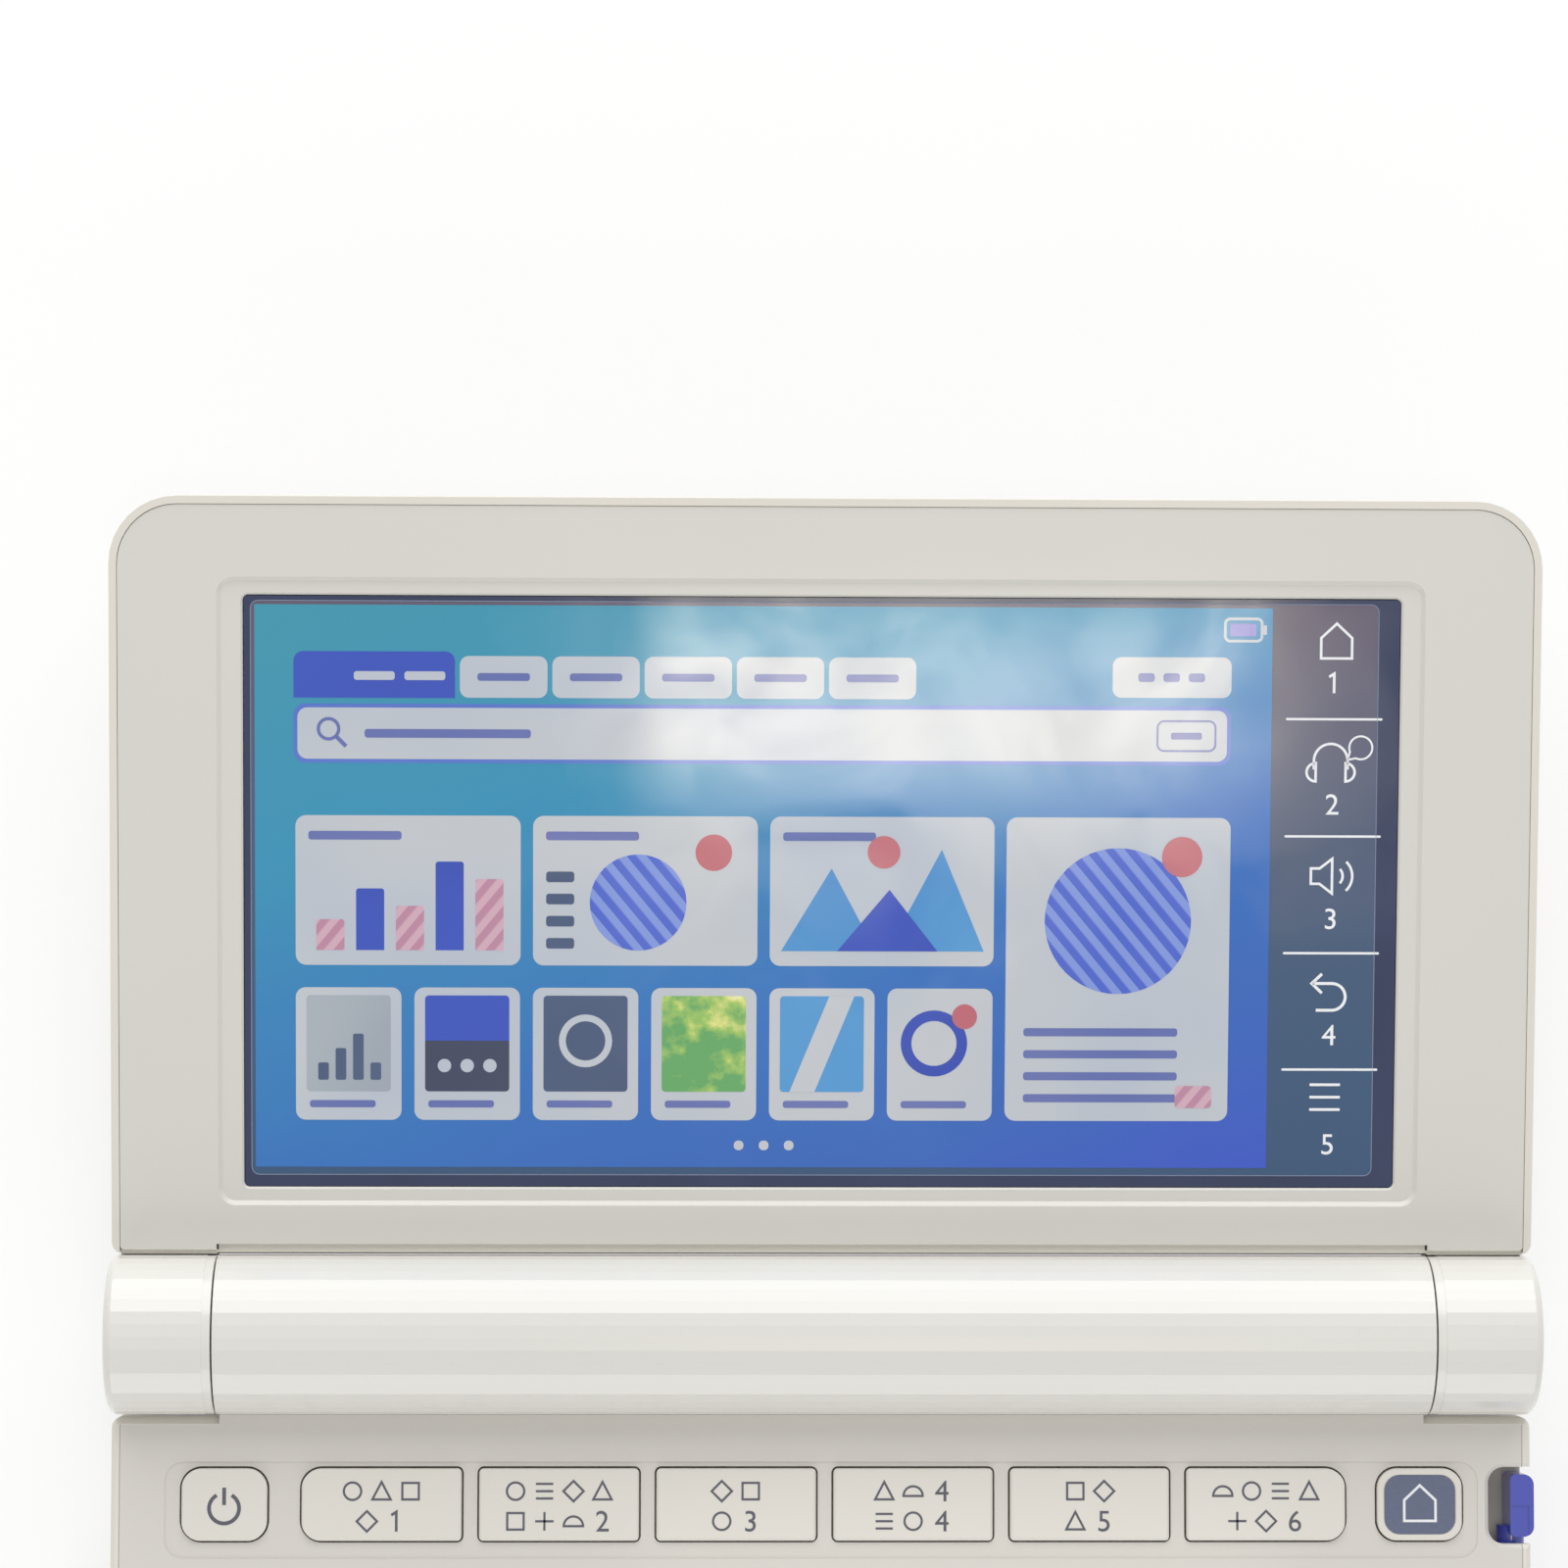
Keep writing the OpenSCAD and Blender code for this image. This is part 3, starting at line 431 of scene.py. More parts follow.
def slab(faces, thick):
    """Vertices and faces of a closed slab, drawn from flat faces that share edges."""
    index, flat, rings = {}, [], []
    for face in faces:
        ring = []
        for x, y in face:
            key = (round(x, 4), round(y, 4))
            if key not in index:
                index[key] = len(flat)
                flat.append((x, y))
            if not ring or ring[-1] != index[key]:
                ring.append(index[key])
        ring = ring[:-1] if len(ring) > 1 and ring[0] == ring[-1] else ring
        area = sum(flat[a][0] * flat[b][1] - flat[b][0] * flat[a][1] for a, b in zip(ring, ring[1:] + ring[:1]))
        if len(ring) > 2 and abs(area) > 1e-7:
            rings.append(ring if area > 0 else ring[::-1])
    edges = {(a, b) for ring in rings for a, b in zip(ring, ring[1:] + ring[:1])}
    n = len(flat)
    walls = [[a, b, b + n, a + n] for a, b in sorted(edges) if (b, a) not in edges]
    verts = [(x, y, 0) for x, y in flat] + [(x, y, thick) for x, y in flat]
    return verts, [[i + n for i in ring] for ring in rings] + [ring[::-1] for ring in rings] + walls


def riding(name, mesh, body):
    """An object at the origin, its place in its mesh, that rides on a body."""
    made = bpy.data.objects.new(name, mesh)
    bpy.context.scene.collection.objects.link(made)
    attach(made, body)
    return made


def printed(name, faces, finish, body, place, level, thick=PRINT):
    """A flat print whose underside is at the given height, in the frame of the given matrix."""
    verts, made_faces = slab(faces, thick)
    mesh = bpy.data.meshes.new(name)
    mesh.from_pydata([place @ Vector((x, y, z + level)) for x, y, z in verts], [], made_faces)
    mesh.materials.append(finish)
    return riding(name, mesh, body)


print("a test slab has", len(slab([tile(0, 10, 0, 8, 1)], 0.1)[1]), "faces")

# %% [markdown]
# ## The lit display
#
# A liquid-crystal display glows from behind, so its colours are part emission and part surface. Half of each colour is
# given as light and half as plain colour: it then reads as a lit picture in the studio and still looks right in a
# brighter or darker room. The picture itself is a plain menu of this lesson's own: tabs, a search bar and tiles with
# simple shapes, in the blue, pale grey and pink of such menus.

# %% Display finishes
GLOW = 0.5  # the share of a display colour that is light


def lit_glass(name):
    """Starts a display finish: smeared glass that glows."""
    material, tree, shader, place = new_finish(name, IOR=1.52, Emission_Strength=GLOW)
    smeared(tree, place, shader)
    return material, tree, shader, place


def lit(tree, shader, colour):
    """Gives a display finish its colour, as light and, dimmed, as surface."""
    rest = (1 - GLOW, 1 - GLOW, 1 - GLOW, 1)
    dimmed = add(tree, "ShaderNodeMix", {0: 1.0, 7: rest}, {6: colour}, data_type="RGBA", blend_type="MULTIPLY")
    tree.links.new(dimmed.outputs[2], shader.inputs["Base Color"])
    tree.links.new(colour, shader.inputs["Emission Color"])


def lit_pixels(name, first, second):
    """Display colour that drifts between two tones over 20 mm."""
    material, tree, shader, place = lit_glass(name)
    drift = add(tree, "ShaderNodeTexNoise", {"Scale": 1 / (20 * MM), "Detail": 1.0}, {"Vector": place})
    pick = add(tree, "ShaderNodeMapRange", {1: 0.35, 2: 0.65}, {0: drift.outputs[0]})
    colour = add(tree, "ShaderNodeMix", {6: linear(first), 7: linear(second)}, {0: pick.outputs[0]}, data_type="RGBA")
    lit(tree, shader, colour.outputs[2])
    return material


def lit_stripes(name, first, second, pitch, turn):
    """Display colour in slanted stripes of a real pitch in mm."""
    material, tree, shader, place = lit_glass(name)
    slant = {"Rotation": (0, 0, math.radians(turn)), "Scale": (1 / (pitch * MM),) * 3}
    spun = add(tree, "ShaderNodeMapping", slant, {"Vector": place})
    x = add(tree, "ShaderNodeSeparateXYZ", links={0: spun.outputs[0]}).outputs[0]
    phase = add(tree, "ShaderNodeMath", {1: 1.0}, {0: x}, operation="FLOORED_MODULO")
    edge = add(tree, "ShaderNodeMapRange", {1: 0.44, 2: 0.56}, {0: phase.outputs[0]})
    colour = add(tree, "ShaderNodeMix", {6: linear(first), 7: linear(second)}, {0: edge.outputs[0]}, data_type="RGBA")
    lit(tree, shader, colour.outputs[2])
    return material


def lit_ramp(name, stops, way, low, high, mottle, size):
    """Display colour through stops between two places (mm) along a direction, mottled in patches of a size (mm)."""
    material, tree, shader, place = lit_glass(name)
    along = add(tree, "ShaderNodeVectorMath", {1: (*way, 0)}, {0: place}, operation="DOT_PRODUCT")
    run = add(tree, "ShaderNodeMapRange", {1: low * MM, 2: high * MM}, {0: along.outputs["Value"]})
    noise = add(tree, "ShaderNodeTexNoise", {"Scale": 1 / (size * MM), "Detail": 3.0}, {"Vector": place})
    centred = add(tree, "ShaderNodeMath", {1: 0.5}, {0: noise.outputs[0]}, operation="SUBTRACT")
    spread = add(tree, "ShaderNodeMath", {1: mottle}, {0: centred.outputs[0], 2: run.outputs[0]},
                 operation="MULTIPLY_ADD")
    ramp = add(tree, "ShaderNodeValToRGB", links={0: spread.outputs[0]})
    set_stops(ramp, stops)
    lit(tree, shader, ramp.outputs["Color"])
    return material


print("a display colour is", GLOW, "light")

# %% Display colours
sky_stops = [(0.0, "#3050C0"), (0.2, "#2A60B6"), (0.38, "#266AB8"), (0.69, "#288CB3"), (1.0, "#3391A9")]
leaf_stops = [(0.2, "#5FA35F"), (0.45, "#9AC060"), (0.65, "#DCDC84"), (0.85, "#EFEFD0")]
sky = lit_ramp("lit_teal_to_blue_ground", sky_stops, (-0.35, 1.0), 0, 96, 0.2, 26)
pale = lit_pixels("lit_pale_grey_tiles", "#B4BCC8", "#BFC3C8")
deep_blue = lit_pixels("lit_deep_blue", "#2F4DB8", "#2845AC")
word_blue = lit_pixels("lit_word_blue", "#5A68A8", "#6670AC")
rose = lit_pixels("lit_rose", "#BC6874", "#B8606C")
rose_stripes = lit_stripes("lit_rose_stripes", "#B8849C", "#CDA6B6", 1.5, 40)
blue_stripes = lit_stripes("lit_blue_stripes", "#4560C6", "#7C92D6", 1.6, -40)
slate = lit_pixels("lit_slate", "#46587A", "#3F5070")
water = lit_pixels("lit_water_blue", "#3C86C4", "#4C94CC")
leaf = lit_ramp("lit_leaf_mottle", leaf_stops, (0, 1), 20, 52, 1.6, 2.2)
print("display ground runs from", sky_stops[0][1], "to", sky_stops[-1][1])

# %% [markdown]
# ## Rows of plates by Geometry Nodes
#
# Tabs, tiles and the divider lines of the touch strip are the same thing: a rounded plate repeated at an even step.
# That is a rule, so it is a node tree: a line of points, a plate on each, then real geometry. The plate is a filled
# curve pushed up to a closed slab. Count, step and sizes are inputs, so one tree draws every row. The result is turned
# to a plain mesh, because later steps need real faces and not instances.

# %% The plate-row tree
def new_tree(name, inputs):
    """A geometry tree with named inputs, each a kind of socket and a default value."""
    tree = bpy.data.node_groups.new(name, "GeometryNodeTree")
    for label, (kind, value) in inputs.items():
        socket = tree.interface.new_socket(label, in_out="INPUT", socket_type="NodeSocket" + kind)
        if value is not None:
            socket.default_value = value
    tree.interface.new_socket("Geometry", in_out="OUTPUT", socket_type="NodeSocketGeometry")
    return tree, add(tree, "NodeGroupInput").outputs


def hand_out(tree, points, instance, finish):
    """Ends a tree: the instance on every point, made real and given its finish."""
    placed = add(tree, "GeometryNodeInstanceOnPoints", links={"Points": points, "Instance": instance})
    real = add(tree, "GeometryNodeRealizeInstances", links={"Geometry": placed.outputs[0]})
    painted = add(tree, "GeometryNodeSetMaterial", links={"Geometry": real.outputs[0], "Material": finish})
    add(tree, "NodeGroupOutput", links={0: painted.outputs[0]})
    return tree


def plate_row_tree():
    """Rounded plates in a row, each a closed slab."""
    tree, given = new_tree("plate_row", {
        "Count": ("Int", 4), "Step": ("Vector", (10, 0, 0)), "Width": ("Float", 8), "Height": ("Float", 5),
        "Corner": ("Float", 1), "Thickness": ("Float", PRINT), "Finish": ("Material", None)})
    line = add(tree, "GeometryNodeMeshLine", links={"Count": given["Count"], "Offset": given["Step"]})
    sides = {"Width": given["Width"], "Height": given["Height"]}
    outline = add(tree, "GeometryNodeCurvePrimitiveQuadrilateral", links=sides)
    rounded = {"Curve": outline.outputs[0], "Radius": given["Corner"]}
    corners = add(tree, "GeometryNodeFilletCurve", {"Count": 6}, rounded, mode="POLY")
    face = add(tree, "GeometryNodeFillCurve", links={"Curve": corners.outputs[0]})
    push = {"Mesh": face.outputs[0], "Offset Scale": given["Thickness"]}
    lifted = add(tree, "GeometryNodeExtrudeMesh", {"Individual": False}, push)
    under = add(tree, "GeometryNodeFlipFaces", links={"Mesh": face.outputs[0]})
    both = add(tree, "GeometryNodeJoinGeometry")
    tree.links.new(lifted.outputs["Mesh"], both.inputs[0])
    tree.links.new(under.outputs[0], both.inputs[0])
    closed = add(tree, "GeometryNodeMergeByDistance", {"Distance": 0.001}, {"Geometry": both.outputs[0]})
    return hand_out(tree, line.outputs[0], closed.outputs[0], given["Finish"])


def grown(name, tree, values, place, body, spots=()):
    """Runs a tree with the given inputs on loose points, and turns what it made to a plain mesh in its place."""
    seed = bpy.data.objects.new(name + "_seed", bpy.data.meshes.new(name + "_seed"))
    seed.data.from_pydata(list(spots), [], [])
    bpy.context.scene.collection.objects.link(seed)
    modifier = seed.modifiers.new("grow", "NODES")
    modifier.node_group = tree
    sockets = {s.name: s.identifier for s in tree.interface.items_tree if s.in_out == "INPUT"}
    for key, value in values.items():
        modifier[sockets[key]] = value
    bpy.context.view_layer.update()
    mesh = bpy.data.meshes.new_from_object(seed.evaluated_get(bpy.context.evaluated_depsgraph_get()))
    bpy.data.objects.remove(seed)
    mesh.name = name
    mesh.transform(place)
    return riding(name, mesh, body)


plate_row = plate_row_tree()
print("plate_row has inputs", [s.name for s in plate_row.interface.items_tree if s.in_out == "INPUT"])

# %% Window film and display ground
FILM = (-59.3, 57.0, 16.6, 76.1)  # left, right, low and high, in the lid's millimetres
ACTIVE = (-58.9, 46.0, 17.4, 75.7)


def layer_height(layer):
    """The underside of a print in this layer, counted up from the glass; layer 0 is sunk a little to hold on."""
    return GLASS_TOP - 0.02 + PRINT * layer


def on_glass(name, faces, finish, layer):
    """A print on the window."""
    return printed(name, faces, finish, "lid", in_lid, layer_height(layer))


# the clear film's cut edge has no colour of its own: this light line round it is a painted highlight, the light that
# the edge catches
film_edge_highlight = pad_ink("clear_film_edge_painted_highlight", "#7C88A4", "#6C7894")
left, right, low, high = ACTIVE
on_glass("touch_film", [tile(*FILM, 0.8)], film_tint_and_reflection, 0)
on_glass("film_edge", stroke(tile(*FILM, 0.8), 0.1, closed=True), film_edge_highlight, 1)
on_glass("display_ground", [[(left, low), (right, low), (right, high), (left, high)]], sky, 1)
print("display area", round(right - left, 1), "x", round(high - low, 1), "mm")

# %% [markdown]
# ## What the display shows
#
# The layout is a common start page: tabs, a search bar, three cards, one tall card and a shelf of small covers. Each
# layer of print is 0.03 mm above the last, so nothing shares a plane and flickers. Words are shown as plain bars, as
# designers do when they only need the weight of a line of text.

# %% Tabs, search bar and battery sign
def row_on_glass(name, first, count, step, size, corner, finish, layer):
    """A row of plates on the window, from the middle of the first one."""
    place = in_lid @ Matrix.Translation((*first, layer_height(layer)))
    values = {"Count": count, "Step": (*step, 0.0), "Width": float(size[0]), "Height": float(size[1]),
              "Corner": float(corner), "Thickness": PRINT, "Finish": finish}
    return grown(name, plate_row, values, place, "lid")


BAR_CORNER = 0.3
border_blue = lit_pixels("lit_border_blue", "#4C6CC4", "#5676C8")
on_glass("tab_active", [tile(-54.9, -38.3, 66.1, 70.9, 1.0, square=(2, 3))], deep_blue, 2)
row_on_glass("tabs", (-33.3, 68.3), 5, (9.5, 0.0), (9.0, 4.3), 0.9, pale, 2)
row_on_glass("tab_words", (-33.3, 68.3), 5, (9.5, 0.0), (5.4, 0.8), BAR_CORNER, word_blue, 3)
row_on_glass("tab_active_word", (-46.6, 68.4), 2, (5.2, 0.0), (4.2, 0.9), BAR_CORNER, pale, 3)
on_glass("top_button", [tile(29.5, 41.8, 66.4, 70.6, 0.9)], pale, 2)
row_on_glass("top_button_word", (33.0, 68.5), 3, (2.6, 0.0), (1.7, 0.9), BAR_CORNER, word_blue, 3)
on_glass("search_bar", [tile(-54.9, 41.8, 59.4, 65.5, 1.2)], border_blue, 2)
on_glass("search_field", [tile(-54.5, 41.4, 59.8, 65.1, 1.0)], pale, 3)
lens = stroke(disc(-51.3, 62.9, 1.05), 0.34, closed=True) + stroke([(-50.5, 62.1), (-49.5, 61.1)], 0.42)
field_button = stroke(tile(34.2, 40.2, 60.9, 64.0, 0.7), 0.2, closed=True)
field_button += moved([tile(-1.6, 1.6, -0.35, 0.35, 0.2)], 37.2, 62.45)
on_glass("search_lens", lens + [tile(-47.6, -30.5, 62.0, 62.9, BAR_CORNER)] + field_button, word_blue, 4)
shell = stroke(tile(41.1, 44.9, 72.3, 74.6, 0.5), 0.28, closed=True) + [tile(45.05, 45.4, 72.95, 73.95, 0.1)]
on_glass("battery_shell", shell, pale, 2)
on_glass("battery_charge", [tile(41.6, 44.3, 72.8, 74.1, 0.15)], lit_pixels("lit_violet", "#7F7AC4", "#8A86CA"), 2)
print("menu head drawn")

# %% Cards and their words
SMALL_STEP = 12.24  # from one small card to the next, in mm
CARD_STEP = 2 * SMALL_STEP
row_on_glass("cards", (-43.13, 46.21), 3, (CARD_STEP, 0.0), (23.2, 15.52), 1.1, pale, 2)
on_glass("tall_card", [tile(18.7, 41.9, 22.32, 53.97, 1.1)], pale, 2)
row_on_glass("small_cards", (-49.28, 29.22), 6, (SMALL_STEP, 0.0), (10.9, 13.8), 1.0, pale, 2)
row_on_glass("card_words", (-48.6, 51.9), 3, (CARD_STEP, 0.0), (9.6, 0.9), BAR_CORNER, word_blue, 3)
row_on_glass("small_card_words", (-49.9, 24.0), 6, (SMALL_STEP, 0.0), (6.8, 0.75), BAR_CORNER, word_blue, 3)
row_on_glass("page_dots", (-8.9, 19.7), 3, (2.6, 0.0), (1.0, 1.0), 0.45, pale, 2)
print("cards drawn")

# %% Pictures on the cards
PICTURE_FOOT = 40.0
bar_heights = [3.2, 6.4, 4.6, 9.2, 7.4]
chart = [[tile(-52.6 + 4.1 * i, -49.7 + 4.1 * i, PICTURE_FOOT, PICTURE_FOOT + tall, 0.3, square=(2, 3))]
         for i, tall in enumerate(bar_heights)]
on_glass("chart_rose", sum(chart[::2], []), rose_stripes, 3)
on_glass("chart_blue", sum(chart[1::2], []), deep_blue, 3)
on_glass("round_blue", [disc(-19.4, 45.0, 5.0, 40)], blue_stripes, 3)
on_glass("round_red", [disc(-11.6, 50.2, 1.9)], rose, 3)
on_glass("card_bars", [tile(-28.9, -26.0, 40.2 + 2.3 * i, 41.3 + 2.3 * i, BAR_CORNER) for i in range(4)], slate, 3)
left_hill = [(-4.6, PICTURE_FOOT), (5.2, PICTURE_FOOT), (0.6, 48.6)]
right_hill = [(6.4, PICTURE_FOOT), (16.4, PICTURE_FOOT), (12.0, 50.6)]
on_glass("hills_back", [left_hill, right_hill], water, 3)
on_glass("hills_front", [[(1.2, PICTURE_FOOT), (11.6, PICTURE_FOOT), (6.6, 46.4)]], deep_blue, 4)
on_glass("hills_sun", [disc(6.0, 50.3, 1.7)], rose, 4)
on_glass("tall_round", [disc(30.3, 43.2, 7.6, 48)], blue_stripes, 3)
on_glass("tall_dot", [disc(36.9, 49.9, 2.1)], rose, 4)
row_on_glass("tall_lines", (28.6, 31.6), 4, (0.0, -2.3), (16.0, 0.85), BAR_CORNER, word_blue, 3)
on_glass("tall_foot", [tile(36.4, 40.2, 23.7, 26.0, 0.4)], rose_stripes, 4)
print("pictures drawn, the tallest bar", max(bar_heights), "mm high")

# %% Covers on the small cards
grey_cover = lit_pixels("lit_cover_grey", "#9AA3AE", "#A6AEB6")
dark_cover = lit_pixels("lit_cover_dark", "#343C58", "#3D4662")
COVER_LOW, COVER_HIGH, COVER_SPLIT, COVER_WIDE = 25.3, 35.3, 30.6, 8.7
COVER_LEFT = [-53.63 + SMALL_STEP * column for column in range(6)]


def cover(name, column, finish, low=COVER_LOW, high=COVER_HIGH, square=()):
    """The picture on one small card, or a band of it."""
    left = COVER_LEFT[column]
    return on_glass(name, [tile(left, left + COVER_WIDE, low, high, 0.4, square)], finish, 3)


def bar(left, i):
    """One of the rising bars on the grey cover."""
    foot = COVER_LOW + 1.2
    return tile(left + 1.2 + 1.8 * i, left + 2.3 + 1.8 * i, foot, foot + 1.8 + 1.5 * (i % 3), 0.2)


cover("cover_grey", 0, grey_cover)
on_glass("cover_grey_bars", [bar(COVER_LEFT[0], i) for i in range(4)], slate, 4)
cover("cover_dark", 1, dark_cover, high=COVER_SPLIT, square=(0, 1))
cover("cover_blue", 1, deep_blue, low=COVER_SPLIT, square=(2, 3))
on_glass("cover_dark_dots", [disc(COVER_LEFT[1] + 2.0 + 2.35 * i, 28.0, 0.7, 18) for i in range(3)], pale, 4)
cover("cover_slate", 2, slate)
ring = disc(COVER_LEFT[2] + COVER_WIDE / 2, COVER_SPLIT, 2.4, 36)
on_glass("cover_slate_ring", stroke(ring, 0.7, closed=True), pale, 4)
cover("cover_leaf", 3, leaf)
cover("cover_water", 4, water)
left, right = COVER_LEFT[4], COVER_LEFT[4] + COVER_WIDE
slant = [(left + 1.0, COVER_LOW), (left + 3.6, COVER_LOW), (right - 1.0, COVER_HIGH), (right - 3.6, COVER_HIGH)]
on_glass("cover_water_band", [slant], pale, 4)
right = COVER_LEFT[5] + COVER_WIDE
ring = disc(right - COVER_WIDE / 2 - 0.6, 30.4, 2.9, 36)
on_glass("cover_ring", stroke(ring, 1.1, closed=True), deep_blue, 3)
on_glass("cover_ring_dot", [disc(right - 1.8, 33.2, 1.3, 24)], rose, 4)
print("covers drawn, last one ends at x", round(right, 1))

# %% [markdown]
# ## The touch-key strip
#
# Beside the display is a strip of touch keys: thin white signs printed on the film, parted by four white lines. The
# signs are the usual ones: house, headphones, loudspeaker, back arrow and menu bars. Under each stands a plain number.
# Numbers come from Blender's own font, turned to flat triangles and then to a slab like every other print.

# %% Numbers and letters as flat faces
def font_faces(text):
    """Faces of a line of text at the font's own size, centred sideways and standing on y 0."""
    curve = bpy.data.curves.new("glyph_line", "FONT")
    curve.body, curve.align_x, curve.resolution_u = text, "CENTER", 4
    seed = bpy.data.objects.new("glyph_line", curve)
    bpy.context.scene.collection.objects.link(seed)
    bpy.context.view_layer.update()
    mesh = bpy.data.meshes.new_from_object(seed.evaluated_get(bpy.context.evaluated_depsgraph_get()))
    faces = [[tuple(mesh.vertices[i].co.xy) for i in p.vertices] for p in mesh.polygons]
    bpy.data.objects.remove(seed)
    bpy.data.meshes.remove(mesh)
    return faces


CAP_HEIGHT = max(y for face in font_faces("H") for x, y in face)


def glyphs(text, height):
    """Faces of a line of text whose capitals have the given height, centred on the origin."""
    size = height / CAP_HEIGHT
    return [[(x * size, (y - CAP_HEIGHT / 2) * size) for x, y in face] for face in font_faces(text)]


def sign_or_digit(text, height):
    """A digit of the font, but the 1 with a flag, drawn by strokes, because the font's own is a plain bar."""
    if text != "1":
        return glyphs(text, height)
    return moved(stroke([(-0.23, 0.3), (0.02, 0.46), (0.02, -0.5)], 0.13), size=height)


print("capitals of the font are", round(CAP_HEIGHT, 3), "of its size")

# %% Signs of the touch strip
THIN, DIGIT = 0.26, 2.1  # width of a sign's line and height of a digit, in mm
row_on_glass("strip_lines", (52.5, 64.25), 4, (0.0, -12.17), (10.0, 0.24), 0.1, white_ink, 1)
house = stroke([(-1.6, -1.75), (1.6, -1.75), (1.6, 0.35), (0, 1.85), (-1.6, 0.35)], THIN, closed=True)
band = [(-1.75, -0.7)] + arc(0, 0.2, 1.75, 180, 0, 20) + [(1.75, -0.7)]
cups = [arc(-1.55, -1.0, 0.95, 90, 270, 12), arc(1.55, -1.0, 0.95, -90, 90, 12)]
headphones = stroke(band, THIN) + [f for cup in cups for f in stroke(cup, THIN, closed=True)]
bubble = stroke(arc(0, 0, 1.2, -115, 200, 24) + [(-1.35, -1.25)], 0.2, closed=True)
horn = [(-2.1, -0.8), (-1.2, -0.8), (0.1, -1.8), (0.1, 1.8), (-1.2, 0.8), (-2.1, 0.8)]
waves = stroke(arc(0.1, 0, 1.1, -42, 42, 10), THIN) + stroke(arc(0.1, 0, 2.1, -46, 46, 14), THIN)
back = stroke([(-1.3, -1.75)] + arc(0.35, -0.35, 1.4, -90, 90, 18) + [(-1.7, 1.05)], 0.3)
back += stroke([(-0.7, 2.05), (-1.75, 1.05), (-0.7, 0.05)], 0.3)
bars = [tile(-1.6, 1.6, 1.3 * i - 0.14, 1.3 * i + 0.14, 0.1) for i in (-1, 0, 1)]
signs = [(house, 52.65, 72.3), (headphones, 52.2, 59.75), (bubble, 55.3, 61.3),
         (stroke(horn, THIN, closed=True) + waves, 52.4, 47.95), (back, 52.3, 35.7), (bars, 52.05, 24.85)]
on_glass("strip_signs", [f for sign, x, y in signs for f in moved(sign, x, y)], white_ink, 1)
numbers = [("1", 68.0), ("2", 55.4), ("3", 43.5), ("4", 31.35), ("5", 19.9)]
digits = [f for text, y in numbers for f in moved(sign_or_digit(text, DIGIT), 52.4, y)]
on_glass("strip_numbers", digits, white_ink, 1)
print(len(signs), "signs and", len(numbers), "numbers on the strip")

# %% [markdown]
# ## Legends on the keys
#
# Each legend rides on its own key, so that it goes down with the key. The six wide keys carry two short rows of plain
# outline shapes with a number. The power key has the usual broken ring, the home key a slate panel with a white house,
# the letter keys their letter, and the two home-row keys a small raised bar for the fingers to find.

# %% Printing on keys
KEY_TOP = 0.15  # above the hinge axis
ROW = [-17.55] + [-31.2 - 10.9 * i for i in range(5)]  # y of the middle of each row of keys
LETTER_STEP = 12.1


def on_key(name, faces, body, x, y, finish=legend_ink, level=KEY_TOP - 0.01, thick=PRINT):
    """A print on a key, drawn round the key's middle."""
    return printed(name, moved(faces, x, y), finish, body, in_base, level, thick)


LINE = 0.23
shapes = {  # circle, triangle, square, diamond, bars, plus and half disc
    "o": stroke(disc(0, 0, 0.9, 24), LINE, closed=True),
    "t": stroke([(-0.95, -0.85), (0.95, -0.85), (0, 0.95)], LINE, closed=True),
    "s": stroke([(-0.85, -0.85), (0.85, -0.85), (0.85, 0.85), (-0.85, 0.85)], LINE, closed=True),
    "d": stroke([(0, -1.05), (1.05, 0), (0, 1.05), (-1.05, 0)], LINE, closed=True),
    "b": [tile(-0.9, 0.9, 0.75 * i - LINE / 2, 0.75 * i + LINE / 2, 0.05) for i in (-1, 0, 1)],
    "p": stroke([(-0.95, 0), (0.95, 0)], LINE) + stroke([(0, -0.95), (0, 0.95)], LINE),
    "h": stroke(arc(0, -0.5, 1.0, 0, 180, 16), LINE, closed=True),
}


def legend_row(signs, y, pitch=3.0):
    """A centred row of shapes and digits."""
    row = []
    for i, sign in enumerate(signs):
        row += moved(shapes.get(sign) or sign_or_digit(sign, DIGIT), (i - (len(signs) - 1) / 2) * pitch, y)
    return row


print(len(shapes), "legend shapes drawn")

# %% The top row
wide = [("ots", "d1"), ("obdt", "sph2"), ("ds", "o3"), ("th4", "bo4"), ("sd", "t5"), ("hobt", "pd6")]
for i, (upper, lower) in enumerate(wide):
    rows = legend_row(upper, 1.4) + legend_row(lower, -1.7)
    on_key(f"legend_direct_{i + 1}", rows, f"direct_key_{i + 1}", (i - 2.5) * 18.36 + 0.15, ROW[0])
power = stroke(arc(0, -0.36, 1.55, 120, 420, 40), 0.39) + stroke([(0, -0.02), (0, 1.77)], 0.39)
on_key("legend_power", power, "power_key", -62.0, ROW[0])
panel = [tile(-3.7, 3.7, -3.05, 3.05, 1.6)]
on_key("home_panel", panel, "home_key", 62.1, ROW[0], slate_ink, KEY_TOP - 0.08, 0.07)
on_key("legend_home", moved(house, 0, 0.1, 1.02), "home_key", 62.1, ROW[0], white_ink, KEY_TOP - 0.02)
print("top row printed")

